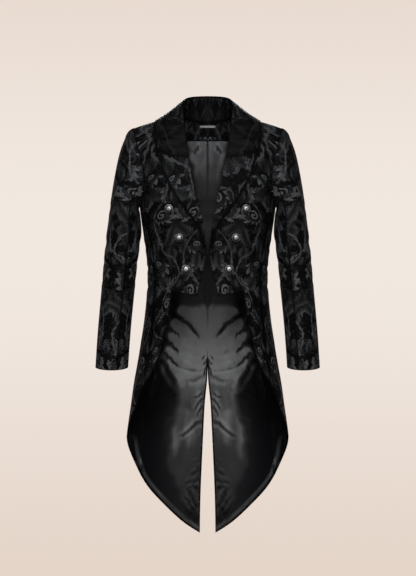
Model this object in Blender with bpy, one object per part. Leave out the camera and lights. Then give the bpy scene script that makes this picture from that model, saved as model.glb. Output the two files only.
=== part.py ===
"""A brocade tailcoat, filled out as if worn, as thin closed walls: one object for each cut piece.

The body surface is a stack of rounded sections under a sloping shoulder ridge. Every panel is a
patch of that surface between its own seam curves, given a wall inwards. The collar, the lapels and
the linings are made from the same surface, moved out or in. Tables are in millimetres, with the
wearer's left at +X, the front at -Y and the origin between the shoulders.
"""

import math

import bpy
import numpy as np

MM = 0.001

# Cloth and seams
SHELL_WALL = 2.0
LINING_WALL = 1.0
COLLAR_WALL = 2.4
SEAM_TRIM = 0.17
LINING_DEPTH = 3.2
LINING_MARGIN = 5.0
ARMHOLE_MARGIN = 2.4
SLEEVE_LAP = 3.8
STANDOFF = 0.8
COLLAR_SEAT = 0.6

# Body surface
SECTION_POWER = 2.4
SHOULDER_ROUND = 85.0
RIDGE_TOP = 46.0
RIDGE_SLOPE = 0.326
RIDGE_SOFTNESS = 35.0
SKIRT_RADIUS = 190.0
START_HALF_WIDTH = 150.0
HEIGHT_ROUNDS = 7
FULL_TURN = 360.0
SIDE_LINE = 90.0

# Steps along the surface where its slope is measured: degrees, degrees at the side line, mm
STEP_ROUND = 0.25
STEP_AT_SIDE = 2.0
SIDE_LINE_BAND = 0.3
STEP_DOWN = 0.6
PATH_STEPS = 8

# height, half width, front depth, back depth
BODY = np.array([
    (60, 206, 66, 78),
    (0, 205, 76, 86),
    (-50, 204, 90, 96),
    (-100, 199, 106, 108),
    (-160, 191, 120, 117),
    (-230, 184.5, 126, 118),
    (-290, 176.3, 121, 111),
    (-350, 168, 111, 103),
    (-430, 162.3, 103, 99),
    (-505, 168.5, 108, 108),
    (-600, 180, 118, 124),
    (-680, 193.8, 126, 134),
    (-760, 208, 131, 139),
    (-850, 220, 134, 141),
    (-950, 229, 134, 142),
    (-1135, 235, 134, 142),
], float)

# Broad folds of the skirt: angle and height at the top and at the bottom, width, depth outwards
SKIRT_FOLDS = np.array([
    (138, -640, 164, -765, 17, -8),
    (118, -580, 124, -960, 26, -7),
    (150, -700, 146, -1010, 30, 6),
    (166, -840, 170, -1100, 18, -4),
    (60, -560, 66, -740, 22, -4),
], float)

# Share of its length that a fold runs on past each end while it fades
FOLD_OVERRUN = 0.15

# Seam and edge curves, as x and height on one half of the front or of the back
NECK_POINT_X = 76.0
SHOULDER_TIP_X = 203.0
FRONT_NECK = [(71, 3), (64, -25), (57.5, -60), (49.5, -102)]
ROLL_LINE = [(49.5, -102), (44, -127), (38, -162), (29.4, -197), (20.5, -232),
             (15.4, -259), (9.5, -295), (4.6, -334)]
CENTRE_EDGE = [(0.5, -342), (0, -352), (1, -368), (8, -391), (17, -428), (28, -472)]
FRONT_HEM = [(28, -472), (60, -466.5), (95, -456)]
WAIST_LINE = [(95, -456), (118, -452), (141, -450)]
CUTAWAY = [(95, -456), (98, -478), (103, -505), (107, -537), (116, -567), (126.6, -624),
           (140, -659), (155, -688), (174, -714)]
FRONT_POINT = [(174, -714), (182, -733), (190, -760)]
BACK_NECK = [(0, -2), (36, 3), (62, 11)]
VENT_TOP = -702.0
VENT = [(0.2, VENT_TOP), (5.2, -724), (8.4, -772), (12.2, -850), (16, -930), (20.5, -1040),
        (21.6, -1121)]
TAIL_EDGE = [(21.6, -1121), (65, -1094), (102, -1060), (133.5, -1027), (161.8, -994),
             (183.1, -961)]

# Seams that cross the side of the body, as angle and height
ARMHOLE_FRONT = [(73, -50), (66, -85), (62, -120), (62, -155), (66, -190)]
ARMHOLE_UNDER = [(66, -190), (75, -218), (90, -232), (104, -218), (111, -190)]
ARMHOLE_BACK = [(106, -53), (111, -85), (113, -120), (113, -155), (111, -190)]
SEAM_FRONT_UPPER = [(66, -190), (63, -260), (59, -350), (57, -450)]
SEAM_FRONT_LOWER = [(57, -450), (58, -560), (60.5, -660), (63.7, -760)]
SEAM_BACK = [(111, -190), (122, -280), (131, -430), (132, -600), (130, -800), (130.3, -961)]
SIDE_EDGE = [(63.7, -760), (75, -806), (88, -843), (99, -864), (110.6, -896), (121, -929),
             (130.3, -961)]

# How many cells each curve has
HEM_CELLS = 3
WAIST_CELLS = 5
ARMHOLE_CELLS = 7
YOKE_CELLS = 3
UNDERARM_CELLS = 6
UPPER_SEAM_CELLS = 7
LOWER_SEAM_CELLS = 7
BACK_CELLS = 8
NECK_CELLS = 4
VENT_CELLS = 8

# Inside back neck
FACING_DEPTH = -53.0
FACING_RISE = 0.5
FACING_SIDE_X = 84.0
FACING_CELLS = 16
FACING_ROWS = 4
FACING_WALL = 1.2
FACING_MARGIN = 1.5
LABEL_WIDTH = 44.0
LABEL_TOP = -8.0
LABEL_BOTTOM = -13.5
LABEL_WALL = 0.6
LABEL_GAP = 0.8

# Lapel outer edge, from the gorge to the point
LAPEL_EDGE = [(131.5, -87), (124.5, -113), (110, -151), (95.6, -181), (81, -205), (59.4, -235),
              (40, -259), (25.7, -278), (15.4, -305), (8.5, -339)]
LAPEL_ROWS = 14

# Section of the turned cloth: roll width, share of the lapel's width, height above the panel,
# for the face and for the underside
TURN_FACE = [(0.0, 0.0, COLLAR_SEAT), (-0.5, 0.0, 1.5), (-0.5, 0.0, 2.9), (0.3, 0.0, 4.2),
             (2.4, 0.0, 5.3), (5.0, 0.08, 5.8), (3.0, 0.32, 5.3), (1.5, 0.55, 4.6),
             (0.5, 0.78, 3.9), (0.0, 1.0, 3.3)]
TURN_UNDER = [(2.3, 0.0, COLLAR_SEAT), (2.0, 0.0, 1.2), (2.1, 0.0, 2.0), (2.8, 0.0, 2.6),
              (4.2, 0.0, 3.0), (6.0, 0.08, 3.4), (3.0, 0.32, 2.9), (1.5, 0.55, 2.2),
              (0.5, 0.78, 1.5), (0.0, 1.0, 0.9)]
FULL_ROLL = 12.0

# Collar stations from the gorge to the centre back: base x, base height, fold x, fold y,
# fold height, edge x, edge height, share of the free fold
COLLAR = np.array([
    (49.5, -102, 49.5, -92, -96, 131.5, -87, 0.0),
    (57.5, -60, 58.5, -92, -50, 138.0, -52, 0.55),
    (64, -25, 63.5, -72, -13, 140.5, -20, 1.0),
    (71, 3, 68, -42, 19, 141, -8, 1.0),
    (NECK_POINT_X, 18.7, 70, -4, 45.5, 139.5, -0.9, 1.0),
    (62, 11, 60, 37, 61.5, 120, -9, 1.0),
    (36, 3, 36, 63, 67.5, 72, -13, 1.0),
    (0, -2, 0, 74, 69.0, 0, -15, 1.0),
], float)
NECK_STATION = 4
COLLAR_ROWS_EACH = 2
STAND_COLUMNS = 5
FALL_COLUMNS = 5

# Free collar: least stand, pull of the stand's base, reach of the crest in and out, where the fall
# nears the shoulder and how high it is there and at its edge, and where the underside starts
LEAST_STAND = 8.0
STAND_PULL = 0.5
CREST_IN = 7.0
CREST_OUT = 13.0
HUG_REACH = 28.0
HUG_LIFT = 8.6
EDGE_LIFT = 1.5
UNDER_REACH = 2.3

# Sleeve rings: height, inner x, outer x, half depth, centre y, drop of the front of the ring
SLEEVE = np.array([
    (-252, 182.2, 266.5, 68, -4, 0),
    (-285, 177.2, 271.0, 67, -5, 0),
    (-321, 179.0, 274.5, 65, -6, 0),
    (-375, 187.7, 279.9, 62, -8, 0),
    (-430, 193.8, 284.2, 59, -12, 0),
    (-490, 199.0, 289.5, 56, -18, 0),
    (-548, 204.7, 295.4, 54, -25, 0),
    (-600, 208.5, 299.0, 52, -31, 1),
    (-640, 211.0, 301.5, 50.5, -36, 4),
    (-663, 212.6, 303.0, 50, -39, 8),
], float)
CROWN_STEPS = [0.05, 0.12, 0.22, 0.36, 0.54, 0.76]
CROWN_LEAVE = (1.0, 0.0, -0.2)
CROWN_HANG = (0.13, 0.0, -0.99)
CROWN_FLARE = 0.3
CROWN_START = 0.55
CROWN_END = 0.85
UNDER_SLEEVE_FIRST = 6
UNDER_SLEEVE_LAST = 14

# Buttons: x and height of the three on one front, and the turned profile as radius and height
BUTTON_PLACES = [(102.5, -237.6), (75.9, -315.0), (57.5, -399.5)]
BUTTON_PROFILE = [(2.6, 0.0), (2.6, 1.8), (10.6, 2.0), (12.0, 2.9), (11.8, 4.0), (10.6, 4.4),
                  (9.9, 3.9), (7.2, 5.6), (3.6, 6.7)]
BUTTON_TOP = 7.1
BUTTON_SIDES = 12
BUTTON_SEAT = 0.5

# Colours: red, green, blue, roughness, metallic
CLOTHS = {
    "brocade": (0.035, 0.036, 0.042, 0.62, 0.0),
    "satin": (0.06, 0.06, 0.062, 0.3, 0.0),
    "label": (0.42, 0.4, 0.38, 0.6, 0.0),
    "pewter": (0.55, 0.54, 0.52, 0.34, 1.0),
}


def clear_scene():
    for thing in list(bpy.data.objects):
        bpy.data.objects.remove(thing, do_unlink=True)


def unit(vector):
    return vector / np.linalg.norm(vector)


def spline(known, values, wanted):
    """Smooth interpolation through a table, with slopes from its neighbours."""
    slopes = np.gradient(values, known, axis=0)
    index = int(np.clip(np.searchsorted(known, wanted) - 1, 0, len(known) - 2))
    span = known[index + 1] - known[index]
    t = (wanted - known[index]) / span
    start = (2 * t**3 - 3 * t**2 + 1) * values[index] + (t**3 - 2 * t**2 + t) * span * slopes[index]
    end = (3 * t**2 - 2 * t**3) * values[index + 1] + (t**3 - t**2) * span * slopes[index + 1]
    return start + end


def body_section(height):
    rising = BODY[::-1]
    level = float(np.clip(height, rising[0, 0], rising[-1, 0]))
    return spline(rising[:, 0], rising[:, 1:], level)


def ridge(x):
    return RIDGE_TOP - RIDGE_SLOPE * math.hypot(x, RIDGE_SOFTNESS)


def power(value, exponent):
    return math.copysign(abs(value) ** exponent, value)


def place(x, height, back=False):
    """Angle round the body and girth below the ridge of the point at x and this height."""
    half_width = body_section(height)[0]
    angle = math.degrees(math.asin(min(1.0, (x / half_width)) ** (SECTION_POWER / 2)))
    down = max(0.0, ridge(x) - height)
    if down < SHOULDER_ROUND:
        girth = SHOULDER_ROUND * math.acos(1 - down / SHOULDER_ROUND)
    else:
        girth = down - SHOULDER_ROUND + SHOULDER_ROUND * math.pi / 2
    return np.array([180.0 - angle if back else angle, girth])


def place_at_angle(angle, height):
    x = body_section(height)[0] * power(math.sin(math.radians(angle)), 2 / SECTION_POWER)
    return np.array([angle, place(x, height)[1]])


def skirt_fold(angle, height):
    total = 0.0
    for top_angle, top, low_angle, low, width, depth in SKIRT_FOLDS:
        along = (top - height) / (top - low)
        if not -FOLD_OVERRUN < along < 1 + FOLD_OVERRUN:
            continue
        centre = top_angle + (low_angle - top_angle) * along
        across = math.radians(angle - centre) * SKIRT_RADIUS
        fade = math.sin(math.pi * (along + FOLD_OVERRUN) / (1 + 2 * FOLD_OVERRUN))
        total += depth * fade * math.exp(-((across / width) ** 2))
    return total


def skin(spot):
    """The point of the body surface at an angle from the centre front and a girth below the ridge."""
    angle, girth = spot
    turn = girth / SHOULDER_ROUND
    if turn < math.pi / 2:
        down = SHOULDER_ROUND * (1 - math.cos(turn))
        fullness = math.sin(turn)
    else:
        down = girth + SHOULDER_ROUND * (1 - math.pi / 2)
        fullness = 1.0
    across = power(math.sin(math.radians(angle)), 2 / SECTION_POWER)
    forward = power(math.cos(math.radians(angle)), 2 / SECTION_POWER)
    x = START_HALF_WIDTH * across
    for _ in range(HEIGHT_ROUNDS):
        height = ridge(x) - down
        half_width, front, back = body_section(height)
        x = half_width * across
    y = -(front if forward > 0 else back) * forward * fullness
    fold = skirt_fold(min(angle, FULL_TURN - angle), height)
    outward = unit(np.array([x, y, 0.0])) if fold else np.zeros(3)
    return np.array([x, y, height]) + fold * outward


def skin_normal(spot):
    spot = np.asarray(spot, float)
    at_side = abs(spot[0] - SIDE_LINE) < SIDE_LINE_BAND
    step_round = np.array([STEP_AT_SIDE if at_side else STEP_ROUND, 0.0])
    step_down = np.array([0.0, STEP_DOWN])
    around = skin(spot + step_round) - skin(spot - step_round)
    down = skin(spot + step_down) - skin(spot - step_down)
    return unit(np.cross(down, around))


def lifted(spot, height):
    return skin(spot) + height * skin_normal(spot)


def even_curve(spots, cells):
    """The curve through these spots, as cells of equal length on the surface."""
    spots = np.array(spots)
    corners = np.array([skin(spot) for spot in spots])
    marks = np.concatenate([[0], np.cumsum(np.linalg.norm(np.diff(corners, axis=0), axis=1))])
    fine = np.linspace(0, marks[-1], PATH_STEPS * cells + 1)
    path = np.array([spline(marks, spots, mark) for mark in fine])
    points = np.array([skin(spot) for spot in path])
    lengths = np.concatenate([[0], np.cumsum(np.linalg.norm(np.diff(points, axis=0), axis=1))])
    wanted = np.linspace(0, lengths[-1], cells + 1)
    curve = np.stack([np.interp(wanted, lengths, path[:, k]) for k in range(2)], axis=1)
    curve[0] = spots[0]
    curve[-1] = spots[-1]
    return curve


def by_x(rows, back=False):
    return [place(x, height, back) for x, height in rows]


def by_angle(rows):
    return [place_at_angle(angle, height) for angle, height in rows]


def on_ridge(x, back=False):
    return place(x, ridge(x), back)


def joined(*curves):
    """Curves end to end, with each shared point once."""
    return np.concatenate([curves[0]] + [curve[1:] for curve in curves[1:]])


def patch(left, right, top, bottom):
    """A grid of spots between four edge curves."""
    rows = len(left)
    columns = len(top)
    grid = np.zeros((rows, columns, 2))
    for i in range(rows):
        t = i / (rows - 1)
        for j in range(columns):
            s = j / (columns - 1)
            edges = (1 - s) * left[i] + s * right[i] + (1 - t) * top[j] + t * bottom[j]
            upper = (1 - s) * top[0] + s * top[-1]
            lower = (1 - s) * bottom[0] + s * bottom[-1]
            grid[i, j] = edges - (1 - t) * upper - t * lower
    return grid


def sheet(*grids):
    """One list of spots and one of four sided cells, with spots that the grids share merged."""
    spots = []
    seen = {}
    cells = []

    def number(spot):
        key = spot_key(spot)
        if key not in seen:
            seen[key] = len(spots)
            spots.append(spot)
        return seen[key]

    for grid in grids:
        names = [[number(spot) for spot in row] for row in grid]
        for upper, lower in zip(names, names[1:]):
            for j in range(len(upper) - 1):
                cells.append((upper[j], lower[j], lower[j + 1], upper[j + 1]))
    return spots, cells


def rim_edges(cells):
    edges = {}
    for cell in cells:
        for a, b in zip(cell, cell[1:] + cell[:1]):
            edges[(a, b)] = True
    return [(a, b) for a, b in edges if (b, a) not in edges]


def trimmed(points, cells, margins):
    """The points with each rim point drawn into the sheet by its margin."""
    rim = rim_edges(cells)
    near = {index: [] for pair in rim for index in pair}
    along = {index: [] for pair in rim for index in pair}
    for cell in cells:
        middle = sum(points[index] for index in cell) / len(cell)
        for index in cell:
            if index in near:
                near[index].append(middle)
    for a, b in rim:
        way = unit(points[b] - points[a])
        along[a].append(way)
        along[b].append(way)
    moved = [point.copy() for point in points]
    for index, middles in near.items():
        inward = sum(middles) / len(middles) - points[index]
        tangent = sum(along[index])
        if len(middles) != 1 and np.linalg.norm(tangent) > 0.5:
            tangent = unit(tangent)
            inward = inward - tangent * np.dot(inward, tangent)
        moved[index] = points[index] + unit(inward) * margins[index]
    return moved


def triangles(cells, points):
    """Each cell as two triangles, cut along its shorter diagonal."""
    halves = []
    for a, b, c, d in cells:
        if np.linalg.norm(points[a] - points[c]) < np.linalg.norm(points[b] - points[d]) + 1e-6:
            halves += [(a, b, c), (a, c, d)]
        else:
            halves += [(a, b, d), (b, c, d)]
    return halves


def closed_wall(name, face, under, halves, cloth):
    """A closed solid between a face and an underside that share their triangles."""
    count = len(face)
    faces = list(halves)
    faces += [tuple(index + count for index in reversed(half)) for half in halves]
    faces += [(b, a, a + count, b + count) for a, b in rim_edges(halves)]
    return solid(name, list(face) + list(under), faces, cloth)


def facing_out(points, faces):
    """The same faces, turned where their solid would be inside out."""
    volume = 0.0
    for face in faces:
        for b, c in zip(face[1:], face[2:]):
            volume += float(np.dot(points[face[0]], np.cross(points[b], points[c])))
    return faces if volume > 0 else [tuple(reversed(face)) for face in faces]


def solid(name, points, faces, cloth):
    mesh = bpy.data.meshes.new(name)
    faces = facing_out(points, faces)
    mesh.from_pydata([tuple(float(v) * MM for v in point) for point in points], [], faces)
    mesh.validate()
    mesh.update()
    thing = bpy.data.objects.new(name, mesh)
    bpy.context.scene.collection.objects.link(thing)
    mesh.materials.append(cloth_material(cloth))
    return thing


def cloth_material(cloth):
    material = bpy.data.materials.get(cloth)
    if material:
        return material
    red, green, blue, roughness, metallic = CLOTHS[cloth]
    material = bpy.data.materials.new(cloth)
    material.use_nodes = True
    shader = material.node_tree.nodes["Principled BSDF"]
    shader.inputs["Base Color"].default_value = (red, green, blue, 1)
    shader.inputs["Roughness"].default_value = roughness
    shader.inputs["Metallic"].default_value = metallic
    return material


def spot_key(spot):
    return round(float(spot[0]), 4), round(float(spot[1]), 3)


def panel(name, grids, cloth, depth=0.0, wall=SHELL_WALL, margins=(), mirror=True):
    """A panel whose face lies this deep under the surface, drawn in more along some curves."""
    spots, cells = sheet(*grids)
    wider = {spot_key(spot): margin for curve, margin in margins for spot in curve}
    drawn_in = [wider.get(spot_key(spot), SEAM_TRIM) for spot in spots]
    normals = [skin_normal(spot) for spot in spots]
    points = [skin(spot) for spot in spots]
    halves = triangles(cells, points)
    points = trimmed(points, cells, drawn_in)
    face = [point - depth * normal for point, normal in zip(points, normals)]
    under = [point - (depth + wall) * normal for point, normal in zip(points, normals)]
    both_sides(name, face, under, halves, cloth, mirror)


def mirrored(points):
    return [point * np.array([-1, 1, 1]) for point in points]


def both_sides(name, face, under, halves, cloth, mirror):
    if not mirror:
        closed_wall(name, face, under, halves, cloth)
        return
    closed_wall(name + "_left", face, under, halves, cloth)
    closed_wall(name + "_right", mirrored(face), mirrored(under), halves, cloth)


def grid_cells(rows, columns):
    cells = []
    for i in range(rows - 1):
        for j in range(columns - 1):
            corner = i * columns + j
            cells.append((corner, corner + columns, corner + columns + 1, corner + 1))
    return cells


def grid_wall(name, face, under, cloth, mirror=True):
    """A wall from two grids of points, drawn in at its rim."""
    rows, columns = face.shape[:2]
    cells = grid_cells(rows, columns)
    margins = [SEAM_TRIM] * (rows * columns)
    face_points = trimmed(list(face.reshape(-1, 3)), cells, margins)
    under_points = trimmed(list(under.reshape(-1, 3)), cells, margins)
    halves = triangles(cells, face_points)
    both_sides(name, face_points, under_points, halves, cloth, mirror)


def seams():
    """Every shared curve, once, so that neighbouring panels have the same points."""
    neck_front = on_ridge(NECK_POINT_X)
    tip_front = on_ridge(SHOULDER_TIP_X)
    neck_back = on_ridge(NECK_POINT_X, True)
    tip_back = on_ridge(SHOULDER_TIP_X, True)
    front_edge = [neck_front] + by_x(FRONT_NECK + ROLL_LINE[1:] + CENTRE_EDGE)
    yoke = by_x([(0, FACING_DEPTH), (60, FACING_DEPTH), (120, FACING_DEPTH)], True)
    centre_back = [(0, FACING_DEPTH), (0, -300), (0, VENT_TOP)]
    side_rows = ARMHOLE_CELLS - YOKE_CELLS + UPPER_SEAM_CELLS + LOWER_SEAM_CELLS
    return {
        "shoulder_front": even_curve([neck_front, tip_front], HEM_CELLS + WAIST_CELLS),
        "shoulder_back": even_curve([neck_back, tip_back], BACK_CELLS - NECK_CELLS),
        "front_edge": even_curve(front_edge, ARMHOLE_CELLS + UPPER_SEAM_CELLS),
        "hem": even_curve(by_x(FRONT_HEM), HEM_CELLS),
        "waist": even_curve(by_x(WAIST_LINE[:-1]) + by_angle(SEAM_FRONT_LOWER[:1]), WAIST_CELLS),
        "cutaway": even_curve(by_x(CUTAWAY), LOWER_SEAM_CELLS),
        "front_point": even_curve(by_x(FRONT_POINT[:-1]) + by_angle(SIDE_EDGE[:1]), WAIST_CELLS),
        "armhole_front": even_curve([tip_front] + by_angle(ARMHOLE_FRONT), ARMHOLE_CELLS),
        "armhole_under": even_curve(by_angle(ARMHOLE_UNDER), UNDERARM_CELLS),
        "armhole_yoke": even_curve([tip_back] + by_angle(ARMHOLE_BACK[:1]), YOKE_CELLS),
        "armhole_back": even_curve(by_angle(ARMHOLE_BACK), ARMHOLE_CELLS - YOKE_CELLS),
        "front_upper": even_curve(by_angle(SEAM_FRONT_UPPER), UPPER_SEAM_CELLS),
        "front_lower": even_curve(by_angle(SEAM_FRONT_LOWER), LOWER_SEAM_CELLS),
        "seam_back": even_curve(by_angle(SEAM_BACK), UPPER_SEAM_CELLS + LOWER_SEAM_CELLS),
        "side_edge": even_curve(by_angle(SIDE_EDGE), UNDERARM_CELLS),
        "back_neck": even_curve(by_x(BACK_NECK, True) + [neck_back], NECK_CELLS),
        "yoke": even_curve(yoke + by_angle(ARMHOLE_BACK[:1]), BACK_CELLS),
        "centre_yoke": even_curve(by_x([(0, -2), (0, FACING_DEPTH)], True), YOKE_CELLS),
        "centre_back": even_curve(by_x(centre_back, True), side_rows - VENT_CELLS),
        "vent": even_curve(by_x([(0, VENT_TOP)] + VENT[1:], True), VENT_CELLS),
        "tail_edge": even_curve(by_x(TAIL_EDGE[:-1], True) + by_angle(SEAM_BACK[-1:]), BACK_CELLS),
    }


def build_fronts(curve):
    waist = joined(curve["hem"], curve["waist"])
    side = joined(curve["armhole_front"], curve["front_upper"])
    bodice = patch(curve["front_edge"], side, curve["shoulder_front"], waist)
    skirt = patch(curve["cutaway"], curve["front_lower"], curve["waist"], curve["front_point"])
    margins = [(curve["armhole_front"], ARMHOLE_MARGIN)]
    panel("front", [bodice, skirt], "brocade", margins=margins)


def build_sides(curve):
    seam = joined(curve["front_upper"], curve["front_lower"])
    grid = patch(seam, curve["seam_back"], curve["armhole_under"], curve["side_edge"])
    armhole = (curve["armhole_under"], ARMHOLE_MARGIN)
    edge = (curve["side_edge"], LINING_MARGIN)
    panel("side", [grid], "brocade", margins=[armhole])
    panel("lining_side", [grid], "satin", LINING_DEPTH, LINING_WALL, [armhole, edge])


def build_backs(curve):
    """Backs of a yoke and a body cut as one, and their linings, which start under the facing."""
    centre = joined(curve["centre_back"], curve["vent"])
    side = joined(curve["armhole_back"], curve["seam_back"])
    top = joined(curve["back_neck"], curve["shoulder_back"])
    yoke = patch(curve["centre_yoke"], curve["armhole_yoke"], top, curve["yoke"])
    body = patch(centre, side, curve["yoke"], curve["tail_edge"])
    armhole = [(curve["armhole_yoke"], ARMHOLE_MARGIN), (curve["armhole_back"], ARMHOLE_MARGIN)]
    edges = [(curve["vent"], LINING_MARGIN), (curve["tail_edge"], LINING_MARGIN)]
    panel("back", [yoke, body], "brocade", margins=armhole)
    panel("lining_back", [body], "satin", LINING_DEPTH, LINING_WALL, armhole[1:] + edges)


def build_facing():
    """The inside neck facing across both backs, and the plain label on it."""
    half = FACING_CELLS // 2
    neck = even_curve(by_x(BACK_NECK, True), half)
    low = by_x([(x, FACING_DEPTH + FACING_RISE) for x in (0, FACING_SIDE_X / 2, FACING_SIDE_X)], True)
    base = even_curve(low, half)
    other = np.array([FULL_TURN, 0.0])
    flip = np.array([-1.0, 1.0])
    top = joined(neck[::-1], neck * flip + other)
    bottom = joined(base[::-1], base * flip + other)
    left = even_curve([top[0], bottom[0]], FACING_ROWS)
    right = even_curve([top[-1], bottom[-1]], FACING_ROWS)
    grid = patch(left, right, top, bottom)
    margins = [(top, FACING_MARGIN)]
    panel("neck_facing", [grid], "brocade", LINING_DEPTH, FACING_WALL, margins, False)
    top_row = by_x([(0, LABEL_TOP), (LABEL_WIDTH / 2, LABEL_TOP)], True)
    low_row = by_x([(0, LABEL_BOTTOM), (LABEL_WIDTH / 2, LABEL_BOTTOM)], True)
    top = even_curve([top_row[1], top_row[0], top_row[1] * flip + other], 4)
    bottom = even_curve([low_row[1], low_row[0], low_row[1] * flip + other], 4)
    left = np.array([top[0], bottom[0]])
    right = np.array([top[-1], bottom[-1]])
    depth = LINING_DEPTH + FACING_WALL + LABEL_GAP
    grid = patch(left, right, top, bottom)
    panel("label", [grid], "label", depth, LABEL_WALL, (), False)


def turned_row(roll, edge, section):
    """Points over the panel from the roll line to the edge, at the heights of a section."""
    width = float(np.linalg.norm(skin(edge) - skin(roll)))
    scale = min(1.0, width / FULL_ROLL)
    points = []
    for roll_width, share, height in section:
        reach = (roll_width * scale + share * width) / width
        points.append(lifted(roll + (edge - roll) * min(reach, 1.0), height))
    return points


def build_lapels():
    roll = even_curve(by_x(ROLL_LINE), LAPEL_ROWS)
    edge = even_curve(by_x(LAPEL_EDGE), LAPEL_ROWS)
    face = np.array([turned_row(a, b, TURN_FACE) for a, b in zip(roll, edge)])
    under = np.array([turned_row(a, b, TURN_UNDER) for a, b in zip(roll, edge)])
    grid_wall("lapel", face, under, "brocade")


def bezier(points, count):
    """Points of a cubic curve, its start left out."""
    rows = []
    for k in range(1, count + 1):
        t = k / count
        a, b, c, d = points
        rows.append((1 - t)**3 * a + 3 * t * (1 - t)**2 * b + 3 * t * t * (1 - t) * c + t**3 * d)
    return rows


def free_section(base, fold, edge, lift, base_reach):
    """Stand and fall of the collar at one station, on its face or underside."""
    up = np.array([0.0, 0.0, 1.0])
    span = skin(edge) - fold
    outward = unit(np.array([span[0], span[1], 0.0]))
    width = float(np.linalg.norm(skin(edge) - skin(base)))
    start = lifted(base + (edge - base) * base_reach / width, COLLAR_SEAT)
    top = fold + up * lift
    stand_height = max(LEAST_STAND, float(top[2] - start[2]))
    hug = lifted(edge + (base - edge) * HUG_REACH / width, HUG_LIFT + lift)
    end = lifted(edge, EDGE_LIFT + COLLAR_WALL + lift)
    inset = outward * lift
    stand = [start, start + up * STAND_PULL * stand_height, top - outward * CREST_IN - inset, top]
    fall = [top, top + outward * CREST_OUT + inset, hug, end]
    return [start] + bezier(stand, STAND_COLUMNS - 1) + bezier(fall, FALL_COLUMNS)


def collar_section(row, under):
    base_x, base_z, fold_x, fold_y, fold_z, edge_x, edge_z, free, back = row
    base = place(base_x, base_z, back)
    edge = place(edge_x, edge_z, back)
    fold = np.array([fold_x, fold_y, fold_z])
    lift = -COLLAR_WALL if under else 0.0
    base_reach = UNDER_REACH if under else 0.0
    loose = np.array(free_section(base, fold, edge, lift, base_reach))
    laid = np.array(turned_row(base, edge, TURN_UNDER if under else TURN_FACE))
    return laid + (loose - laid) * free


def build_collar():
    marks = np.arange(len(COLLAR), dtype=float)
    steps = np.linspace(0, marks[-1], (len(COLLAR) - 1) * COLLAR_ROWS_EACH + 1)
    face = []
    under = []
    for step in steps:
        row = list(spline(marks, COLLAR, step))
        row[-1] = min(1.0, max(0.0, row[-1]))
        row.append(step > NECK_STATION)
        face.append(collar_section(row, False))
        under.append(collar_section(row, True))
    face = np.array(face)
    under = np.array(under)
    flip = np.array([-1, 1, 1])
    face = np.concatenate([face, face[-2::-1] * flip])
    under = np.concatenate([under, under[-2::-1] * flip])
    grid_wall("collar", face, under, "brocade", False)


def armhole_ring(curve):
    """Spots round the armhole, from the shoulder tip forwards and round, without the last."""
    back = joined(curve["armhole_yoke"], curve["armhole_back"])[::-1]
    return joined(curve["armhole_front"], curve["armhole_under"], back)[:-1]


def sleeve_ring(row, count):
    height, inner, outer, half_depth, centre_y, front_drop = row
    centre_x = (inner + outer) / 2
    radius = (outer - inner) / 2
    points = []
    for k in range(count):
        turn = 2 * math.pi * k / count
        forward = math.sin(turn)
        z = height - front_drop * forward
        points.append((centre_x + radius * math.cos(turn), centre_y - half_depth * forward, z))
    return np.array(points)


def crown_rows(starts, normals, ring):
    """Rows between the armhole and the first ring of the arm."""
    rows = []
    for t in CROWN_STEPS:
        row = []
        for start, normal, end in zip(starts, normals, ring):
            length = np.linalg.norm(end - start)
            leave = unit(np.array(CROWN_LEAVE) + CROWN_FLARE * normal * np.array([1, 1, 0]))
            hang = np.array(CROWN_HANG)
            point = (2 * t**3 - 3 * t**2 + 1) * start + (3 * t**2 - 2 * t**3) * end
            point = point + (t**3 - 2 * t**2 + t) * length * CROWN_START * leave
            point = point + (t**3 - t**2) * length * CROWN_END * hang
            row.append(point)
        rows.append(np.array(row))
    return rows


def ring_normals(grid):
    """Outward normals of a tube given as rings of points."""
    around = np.roll(grid, -1, axis=1) - np.roll(grid, 1, axis=1)
    along = np.gradient(grid, axis=0)
    normals = np.cross(along, around)
    normals = normals / np.linalg.norm(normals, axis=2, keepdims=True)
    outward = grid - grid.mean(axis=1, keepdims=True)
    return normals * np.sign((normals * outward).sum(axis=2).mean())


def build_sleeves(curve):
    ring = armhole_ring(curve)
    count = len(ring)
    points = np.array([skin(spot) for spot in ring])
    normals = np.array([skin_normal(spot) for spot in ring])
    around = np.roll(points, -1, axis=0) - np.roll(points, 1, axis=0)
    away = np.cross(normals, around)
    away = away / np.linalg.norm(away, axis=1, keepdims=True)
    away = away * np.sign(((points - points.mean(axis=0)) * away).sum())
    start_under = points + STANDOFF * normals
    start_face = start_under + SLEEVE_LAP * away
    rings = [sleeve_ring(row, count) for row in SLEEVE]
    crown = crown_rows(start_face, normals, rings[0])
    face = np.array([start_face] + crown + rings)
    under = face - SHELL_WALL * ring_normals(face)
    under[0] = start_under
    first = UNDER_SLEEVE_FIRST
    last = UNDER_SLEEVE_LAST
    lower = list(range(first, last + 1))
    upper = list(range(last, count)) + list(range(0, first + 1))
    grid_wall("sleeve_under", face[:, lower], under[:, lower], "brocade")
    grid_wall("sleeve_top", face[:, upper], under[:, upper], "brocade")


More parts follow.
